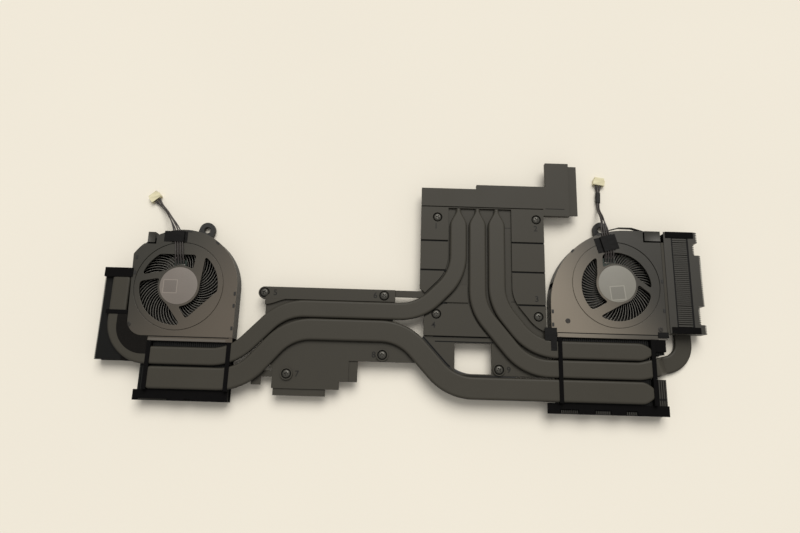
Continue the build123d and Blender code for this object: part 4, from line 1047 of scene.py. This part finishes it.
finSizes = {
    "pitch": 1.05,
    "sheet": 0.16,
    "height": 6.8,
    "line": 0.14,
    "leftRearFins": [{"start": (-134.0, -73.9, 0.0), "length": 47.0, "depth": 30.4, "fold": 3.0}],
    "rightRearFins": [
        {"start": (84.0, -74.8, 0.0), "length": 48.8, "depth": 39.3, "fold": 3.0},
        {"start": (132.8, -43.34, 0.0), "length": 8.1, "depth": 7.84, "fold": 0.0},
    ],
    "rightEndFins": [{"start": (132.8, -74.8, 0.0), "length": 8.1, "depth": 18.75, "fold": 3.0, "line": 0.3}],
    "leftSideFins": [
        {
            "start": (-158.5, -5.0, 0.0), "length": 49.0, "depth": 13.9, "fold": 0.5, "foot": 0.5,
            "line": 0.0, "turn": -90.0,
        },
    ],
    "pieces": [
        ("leftRearFins", "fin", ["left_rear_fins"]), ("rightRearFins", "fin", ["right_rear_fins"]),
        ("rightEndFins", "fold", []), ("leftSideFins", "fin", ["left_side_fins"]),
    ],
}


def fins(start, length, depth, fold, turn=0.0, line=finSizes["line"], foot=0.0):
    clear = length - finSizes["sheet"]
    count = int(clear / finSizes["pitch"])
    values = {
        "Count": count, "Pitch": clear / count, "Sheet": finSizes["sheet"], "Depth": depth,
        "Height": finSizes["height"], "Line": line, "Fold": fold, "Foot": foot,
    }
    return moved(finRule.run(values, "fin"), *start, turn)


for finName, finFinish, finNodes in finSizes["pieces"]:
    finRows = [fins(**size) for size in finSizes[finName]]
    piece(finName, drawn(joined(finRows)), finFinish, finNodes)

# Short folded ends that stand side by side along an open edge of a stack
toothSizes = {
    "wide": 0.56,
    "deep": 0.3,
    "edge": 0.03,
    "side": {"start": (-158.5, -5.0, 6.8), "end": (-158.5, -54.0, 6.8), "reach": 0.6},
    "windows": [(84.9, 94.0, -74.5), (102.8, 110.6, -74.5), (118.7, 124.3, -74.5), (-133.0, -118.4, -73.7)],
    "windowReach": 1.6,
}


def teeth(start, end, reach):
    near, far = Vector(start), Vector(end)
    count = round((far - near).length / finSizes["pitch"])
    turn = math.degrees(math.atan2(far.y - near.y, far.x - near.x))
    half = toothSizes["wide"] / 2
    tooth = bar((-half, 0.0, -toothSizes["deep"]), (half, reach, 0.0), toothSizes["edge"])
    places = [(*near.lerp(far, (i + 0.5) / count), turn) for i in range(count)]
    return stamp(tooth, places, "fold")


piece("leftSideTeeth", drawn(teeth(**toothSizes["side"])), "fin")
windowTeeth = [
    teeth((near, front, finSizes["height"]), (far, front, finSizes["height"]), toothSizes["windowReach"])
    for near, far, front in toothSizes["windows"]
]
piece("windowTeeth", drawn(joined(windowTeeth)), "fold")

# The right side stack has a stepped outer edge. Fine lines show between two slots, and plain skin beyond them
sideFinSizes = {
    "inner": 143.7,
    "low": 2.2,
    "top": 9.0,
    "fold": 0.7,
    "tooth": 0.75,
    "edge": 0.02,
    "steps": [
        (24.0, 18.0, 161.9), (18.0, 11.0, 159.9), (11.0, -17.0, 163.0), (-17.0, -27.0, 160.3),
        (-27.0, -32.0, 163.0),
    ],
    "slots": [(147.7, 148.4, -28.4, 20.4), (156.0, 157.0, -28.4, 20.4)],
    "slotShadeHeights": (8.96, 9.03),
    "endSlotShade": ((133.6, 140.2, -66.7, -65.7), 6.76, 6.86),
    "skin": (8.9, 9.02),
    "skinInset": (0.05, 0.1),
    "lip": ((142.15, 143.65, -32.6, 17.8), 8.45, 8.8, 0.1),
}
sideRows = []
sideEdge, sideTop, sideFold = sideFinSizes["edge"], sideFinSizes["top"], sideFinSizes["fold"]
innerSlot, outerSlot = sideFinSizes["slots"]
for back, front, outer in sideFinSizes["steps"]:
    start = (outer, front, sideFinSizes["low"])
    depth = outer - sideFinSizes["inner"]
    sideRows.append(fins(start, back - front, depth, sideFold, turn=90.0, foot=sideFold))
    sideRows.append(teeth((outer, front, sideTop), (outer, back, sideTop), sideFinSizes["tooth"]))
    sideRows.append(slab((outerSlot[1], outer - sideFold, front, back), *sideFinSizes["skin"], sideEdge))
insetX, insetY = sideFinSizes["skinInset"]
skinFront, skinBack = sideFinSizes["steps"][-1][1] + insetY, sideFinSizes["steps"][0][0] - insetY
skinPlan = (sideFinSizes["inner"] + insetX, innerSlot[0], skinFront, skinBack)
sideRows.append(slab(skinPlan, *sideFinSizes["skin"], sideEdge))
piece("rightSideFins", drawn(joined(sideRows)), "fold", ["right_side_fins"])
# dark strips over the two slots, and one near the end fins: painted shade where the slots fall dark
sideSlotShades = [slab(plan, *sideFinSizes["slotShadeHeights"], sideEdge) for plan in sideFinSizes["slots"]]
sideSlotShades.append(slab(*sideFinSizes["endSlotShade"], sideEdge))
piece("rightSideSlots", drawn(joined(sideSlotShades)), "collar")
sideLip = smoothed(slab(*sideFinSizes["lip"]), sharp=30.0)
piece("rightSideLip", drawn(sideLip), "plate")
print("stage: fins")


# Fans. Cap, strip and the painted fold shade have their heights from the cover's top, and places are from the
# hub
fanSizes = {
    "floor": 8.2,
    "top": 9.0,
    "edge": 0.12,
    "hub": 11.2,
    "line": 0.32,
    "ringTurn": (0.0, 357.0, 3.0),
    "backing": {"half": 0.9, "rise": 0.35, "edge": 0.02},
    "lip": {"drop": 0.3, "edge": 0.08},
    "cap": {"low": -0.1, "high": 0.03, "edge": 0.06},
    "strip": {"low": -0.34, "high": -0.18, "edge": 0.05},
    "crease": {"front": -0.4, "back": -0.02, "low": -0.26, "high": -0.2, "edge": 0.02},
    "hook": {"low": (-0.55, -1.0, 0.0), "high": (0.55, 1.0, 0.22), "edge": 0.08, "sunk": 0.02},
    "rivet": [(0.0, 0.06), (0.55, 0.06), (0.62, 0.16), (1.0, 0.2), (1.3, 0.14), (1.36, 0.0), (0.0, 0.0)],
    "rivetSunk": 0.01,
    "label": [(0.0, 0.12), (9.9, 0.12), (10.08, 0.09), (10.1, 0.0), (0.0, 0.0)],
    "solder": [(0.0, 0.62), (0.28, 0.56), (0.5, 0.34), (0.62, 0.0), (0.0, 0.0)],
    "board": 7.6,
    "solderTurn": 40.0,
    "facets": {"rivet": 24, "label": 72, "solder": 14},
    "left": {
        "outline": {
            "rim": 31.2, "left": -24.9, "leftTop": -26.2, "rear": -27.0, "corner": 8.5, "shoulder": -4.0,
            "notch": (-14.8, 22.8),
        },
        "spokes": [(84.0, 5.7, 11.0), (191.0, 5.9, 9.4), (308.0, 6.2, 10.5)],
        "side": -1.0,
        "chords": [(90.0, 17.2), (-45.0, 16.4)],
        "middle": (0.0, -0.2), "reach": 20.9, "round": 1.8, "ring": 23.8, "ringMiddle": (0.0, 0.0),
        "lip": (-134.4, -86.8, -43.5, -41.0),  # lip, strip and fold: the drawing's own places
        "strip": (-131.2, -90.2, -43.4, -42.2),
        "fold": (-132.6, -88.6),
        "block": (-19.6, -15.6, 23.6, 29.4),
        "finish": "leftCover", "lipFinish": "lip",
        "hooks": [
            (30.4, -3.5, 0.0), (30.4, -10.0, 0.0), (30.4, -22.0, 0.0), (-24.2, 15.0, 0.0), (-24.2, 6.5, 0.0),
            (3.0, 30.4, 90.0), (18.6, 24.2, 52.0),
        ],
        "rivets": [(-24.0, -21.3, 0.0)],
    },
    "right": {
        "outline": {
            "left": -36.0, "right": 25.0, "top": 30.0, "rear": -27.0, "corner": 42.0, "notch": (15.6, 23.6),
        },
        "spokes": [(90.0, 7.2, 10.4), (209.0, 6.2, 10.8), (321.0, 7.1, 9.9)],
        "side": 1.0,
        "chords": [],
        "middle": (-0.4, -1.5), "reach": 18.8, "round": 2.0, "ring": 23.5, "ringMiddle": (-0.6, -0.5),
        "lip": (84.0, 142.0, -35.5, -33.0),
        "strip": (84.3, 137.2, -35.4, -33.4),
        "fold": (84.3, 138.6),
        "block": (16.4, 25.0, 24.4, 30.0),
        "finish": "rightCover", "lipFinish": "rightLip",
        "hooks": [
            (-35.2, -16.0, 0.0), (-35.2, -23.0, 0.0), (-23.4, 17.6, 135.0), (-8.6, 27.4, 110.0),
            (24.3, 2.0, 0.0), (24.3, -14.0, 0.0),
        ],
        "rivets": [(-27.3, -20.8, 0.0), (21.6, -24.0, 0.0)],
    },
}


def leftOutline(rim, left, leftTop, rear, corner, shoulder, notch):
    notchX, notchY = notch
    notchAngle = 180.0 - math.degrees(math.asin(notchY / rim))
    loop = [(rim, rear), (rim, shoulder)]
    loop += arc((0.0, 0.0), rim, 0.0, math.degrees(math.acos(notchX / rim)))
    loop += [notch]
    loop += arc((0.0, 0.0), rim, notchAngle, math.degrees(math.acos(leftTop / rim)))
    loop += arc((left + corner, rear + corner), corner, 180.0, 270.0, 6.0)
    return loop


def rightOutline(left, right, top, rear, corner, notch):
    notchX, notchY = notch
    loop = [(right, rear), (right, notchY), notch, (notchX, top)]
    loop += arc((left + corner, top - corner), corner, 90.0, 180.0)
    loop += [(left, rear)]
    return loop


def roundedLoop(parts, radius, steps=5, gap=0.2):
    points = []
    corners = []
    for part in parts:
        corners.append(len(points))
        points.extend(Vector(place) for place in part[:-1])
    marks = [0.0]
    for near, far in zip(points, points[1:] + points[:1]):
        marks.append(marks[-1] + (far - near).length)
    total = marks[-1]
    ends = [marks[corner] for corner in corners[1:]] + [total]

    def along(mark):
        k = max(i for i in range(len(points)) if marks[i] <= mark % total)
        share = (mark % total - marks[k]) / (marks[k + 1] - marks[k])
        return points[k].lerp(points[(k + 1) % len(points)], share)

    loop = []
    for corner, end in zip(corners, ends):
        middle = marks[corner]
        before, peak, after = along(middle - radius), points[corner], along(middle + radius)
        for i in range(steps + 1):
            t = i / steps
            loop.append(before * (1 - t) ** 2 + peak * 2 * t * (1 - t) + after * t * t)
        first, last = middle + radius + gap, end - radius - gap
        loop.extend(place for place, mark in zip(points, marks) if first < mark < last)
    return [(place.x, place.y) for place in loop]


def crossing(angle, offset, middle, radius):
    along = Vector((math.cos(math.radians(angle)), math.sin(math.radians(angle))))
    base = offset * Vector((-along.y, along.x)) - Vector(middle)
    run = math.sqrt(base.dot(along) ** 2 - base.length_squared + radius * radius) - base.dot(along)
    place = base + run * along
    return math.degrees(math.atan2(place.y, place.x))


def openingLoops(fan):
    hub, reach, middle, spokes = fanSizes["hub"], fan["reach"], fan["middle"], fan["spokes"]
    loops = []
    for (angle, near, far), (nextAngle, nextNear, nextFar) in zip(spokes, spokes[1:] + spokes[:1]):
        start, end = (-near, -nextFar) if fan["side"] < 0 else (far, nextNear)
        rimStart, rimEnd = crossing(angle, start, middle, reach), crossing(nextAngle, end, middle, reach)
        hubStart, hubEnd = crossing(angle, start, (0.0, 0.0), hub), crossing(nextAngle, end, (0.0, 0.0), hub)
        rim = arc(middle, reach, rimStart, rimStart + (rimEnd - rimStart) % 360.0, 3.0)
        for chord, distance in fan["chords"]:
            flat = Vector((math.cos(math.radians(chord)), math.sin(math.radians(chord))))
            places = [Vector(place) for place in rim]
            rim = [tuple(place - flat * max(0.0, place.dot(flat) - distance)) for place in places]
        inner = arc((0.0, 0.0), hub, hubStart + (hubEnd - hubStart) % 360.0, hubStart, 3.0)
        loops.append(roundedLoop([rim, [rim[-1], inner[0]], inner, [inner[-1], rim[0]]], fan["round"]))
    return loops


def aboutHub(hub, marks, height):
    return [(hub.x + x, hub.y + y, height, turn) for x, y, turn in marks]


outlines = {"left": leftOutline, "right": rightOutline}
low, high, edge = fanSizes["floor"], fanSizes["top"], fanSizes["edge"]
backing, lip, cap, strip = fanSizes["backing"], fanSizes["lip"], fanSizes["cap"], fanSizes["strip"]
crease, hook, facets = fanSizes["crease"], fanSizes["hook"], fanSizes["facets"]
half, wide = fanSizes["line"] / 2, backing["half"]
for side in sides:
    fan = fanSizes[side]
    hub = hubDrawing[side]
    outline = outlines[side](**fan["outline"])
    ringSizes = [fan["ring"] + step for step in (half, -half, wide, -wide)]
    rings = [arc(fan["ringMiddle"], radius, *fanSizes["ringTurn"]) for radius in ringSizes]
    left, right, front, back = fan["lip"]
    lipPlan = (left - hub.x, right - hub.x, front - hub.y, back - hub.y)
    coverMeshes = [
        plate([outline, rings[0]], low, high, edge),
        plate([rings[1]] + openingLoops(fan), low, high, edge),
        plate([rings[2], rings[3]], low, low + backing["rise"], backing["edge"]),
        slab(lipPlan, low, high - lip["drop"], lip["edge"]),
        slab(fan["block"], high + cap["low"], high + cap["high"], cap["edge"]),
    ]
    cover = smoothed(moved(joined(coverMeshes), hub.x, hub.y), sharp=15.0)
    piece(f"{side}Cover", drawn(cover), fan["finish"], [f"{side}_fan_cover"])
    stripMesh = slab(fan["strip"], high + strip["low"], high + strip["high"], strip["edge"])
    piece(f"{side}OutletLip", drawn(smoothed(stripMesh, sharp=30.0)), fan["lipFinish"])
    # a dark strip along the lip's fold: painted shade where the fold falls dark
    foldShadePlan = (*fan["fold"], back + crease["front"], back + crease["back"])
    foldShadeMesh = slab(foldShadePlan, high + crease["low"], high + crease["high"], crease["edge"])
    piece(f"{side}LipCrease", drawn(foldShadeMesh), "collar")
    hooks = aboutHub(hub, fan["hooks"], high - hook["sunk"])
    hookMesh = stamp(bar(hook["low"], hook["high"], hook["edge"]), hooks, "tray")
    piece(f"{side}Hooks", drawn(hookMesh), "tray")
    rivets = aboutHub(hub, fan["rivets"], high - fanSizes["rivetSunk"])
    rivetMesh = stamp(turned(fanSizes["rivet"], facets["rivet"]), rivets, "rivet")
    piece(f"{side}Rivets", drawn(rivetMesh), "rivet")
    label = moved(smoothed(turned(fanSizes["label"], facets["label"])), hub.x, hub.y, high)
    piece(f"{side}Label", drawn(label), f"{side}Label", [f"{side}_label"])
    x, y, z = leadSizes[side]["spine"][0]
    pitch = leadSizes[side]["pitches"][0]
    blobs = [
        (x + (wire - leadSizes["middleWire"]) * pitch, y, fanSizes["board"], fanSizes["solderTurn"] * wire)
        for wire in range(leadSizes["wires"])
    ]
    solderMesh = stamp(turned(fanSizes["solder"], facets["solder"]), blobs, "solder")
    piece(f"{side}Solder", drawn(solderMesh), "solder")
print("stage: fan covers")

# Impellers: thin swept blades round a cup
bladeRule = Rule(
    "bladeWheel",
    {
        "Count": "Int", "Root": "Float", "Tip": "Float", "Sweep": "Float", "Bend": "Float", "Floor": "Float",
        "Height": "Float", "Sheet": "Float",
    },
)
bladeGrid = bladeRule.add(
    "GeometryNodeMeshGrid", {}, {"Size X": 1.0, "Size Y": 1.0, "Vertices X": 9, "Vertices Y": 2}
)
bladePlace = bladeRule.add("ShaderNodeSeparateXYZ", {}, {0: bladeRule.add("GeometryNodeInputPosition")})
bladeShare = bladePlace + 0.5
bladeReach = bladeRule.given("Root") + (bladeRule.given("Tip") - bladeRule.given("Root")) * bladeShare
bladeTurn = bladeRule.given("Sweep") * bladeShare ** bladeRule.given("Bend")
bladeRise = bladeRule.given("Floor") + bladeRule.given("Height") * (bladePlace.other("Y") + 0.5)
bladeSpot = bladeRule.vector(bladeReach * bladeTurn.cosine(), bladeReach * bladeTurn.sine(), bladeRise)
bladeSheet = bladeRule.add("GeometryNodeSetPosition", {}, {"Geometry": bladeGrid, "Position": bladeSpot})
bladeThick = bladeRule.add(
    "GeometryNodeExtrudeMesh",
    {"mode": "FACES"},
    {"Mesh": bladeSheet, "Offset Scale": bladeRule.given("Sheet"), "Individual": False},
)
bladeBack = bladeRule.add("GeometryNodeFlipFaces", {}, {"Mesh": bladeSheet})
bladeBoth = bladeRule.add("GeometryNodeJoinGeometry", {}, {"Geometry": [bladeThick, bladeBack]})
bladeOne = bladeRule.add("GeometryNodeMergeByDistance", {}, {"Geometry": bladeBoth, "Distance": 0.001})
bladePoints = bladeRule.add("GeometryNodePoints", {}, {"Count": bladeRule.given("Count")})
bladeStep = bladeRule.add("GeometryNodeInputIndex") * (2.0 * math.pi) / bladeRule.given("Count")
bladeWheel = bladeRule.add(
    "GeometryNodeInstanceOnPoints",
    {},
    {"Points": bladePoints, "Instance": bladeOne, "Rotation": bladeRule.vector(0.0, 0.0, bladeStep)},
)
bladeRule.close(bladeWheel)
wheelSizes = {
    "left": {"Count": 59, "Root": 10.2, "Tip": 23.0, "Sweep": math.radians(34.0), "Bend": 1.4},
    "right": {"Count": 67, "Root": 10.2, "Tip": 23.0, "Sweep": math.radians(-22.0), "Bend": 1.1},
    "shared": {"Floor": 1.1, "Height": 5.6, "Sheet": 0.15},
    "cup": [
        (0.75, 1.1), (10.1, 1.1), (10.5, 1.35), (10.6, 1.8), (10.6, 6.5), (10.4, 6.7), (9.7, 6.7), (9.7, 2.0),
        (0.75, 2.0), (0.75, 1.1),
    ],
    "cupFacets": 64,
}
for side in sides:
    hub = hubDrawing[side]
    rotor = f"{side}_rotor"
    wheel = bladeRule.run({**wheelSizes["shared"], **wheelSizes[side]}, "blade")
    blades = moved(smoothed(wheel, sharp=40.0), hub.x, hub.y)
    piece(f"{side}Blades", drawn(blades), None, [f"{side}_impeller"], rotor)
    cup = smoothed(turned(wheelSizes["cup"], wheelSizes["cupFacets"]))
    piece(f"{side}Cup", drawn(moved(cup, hub.x, hub.y)), "cup", (), rotor)
print("stage: impellers")
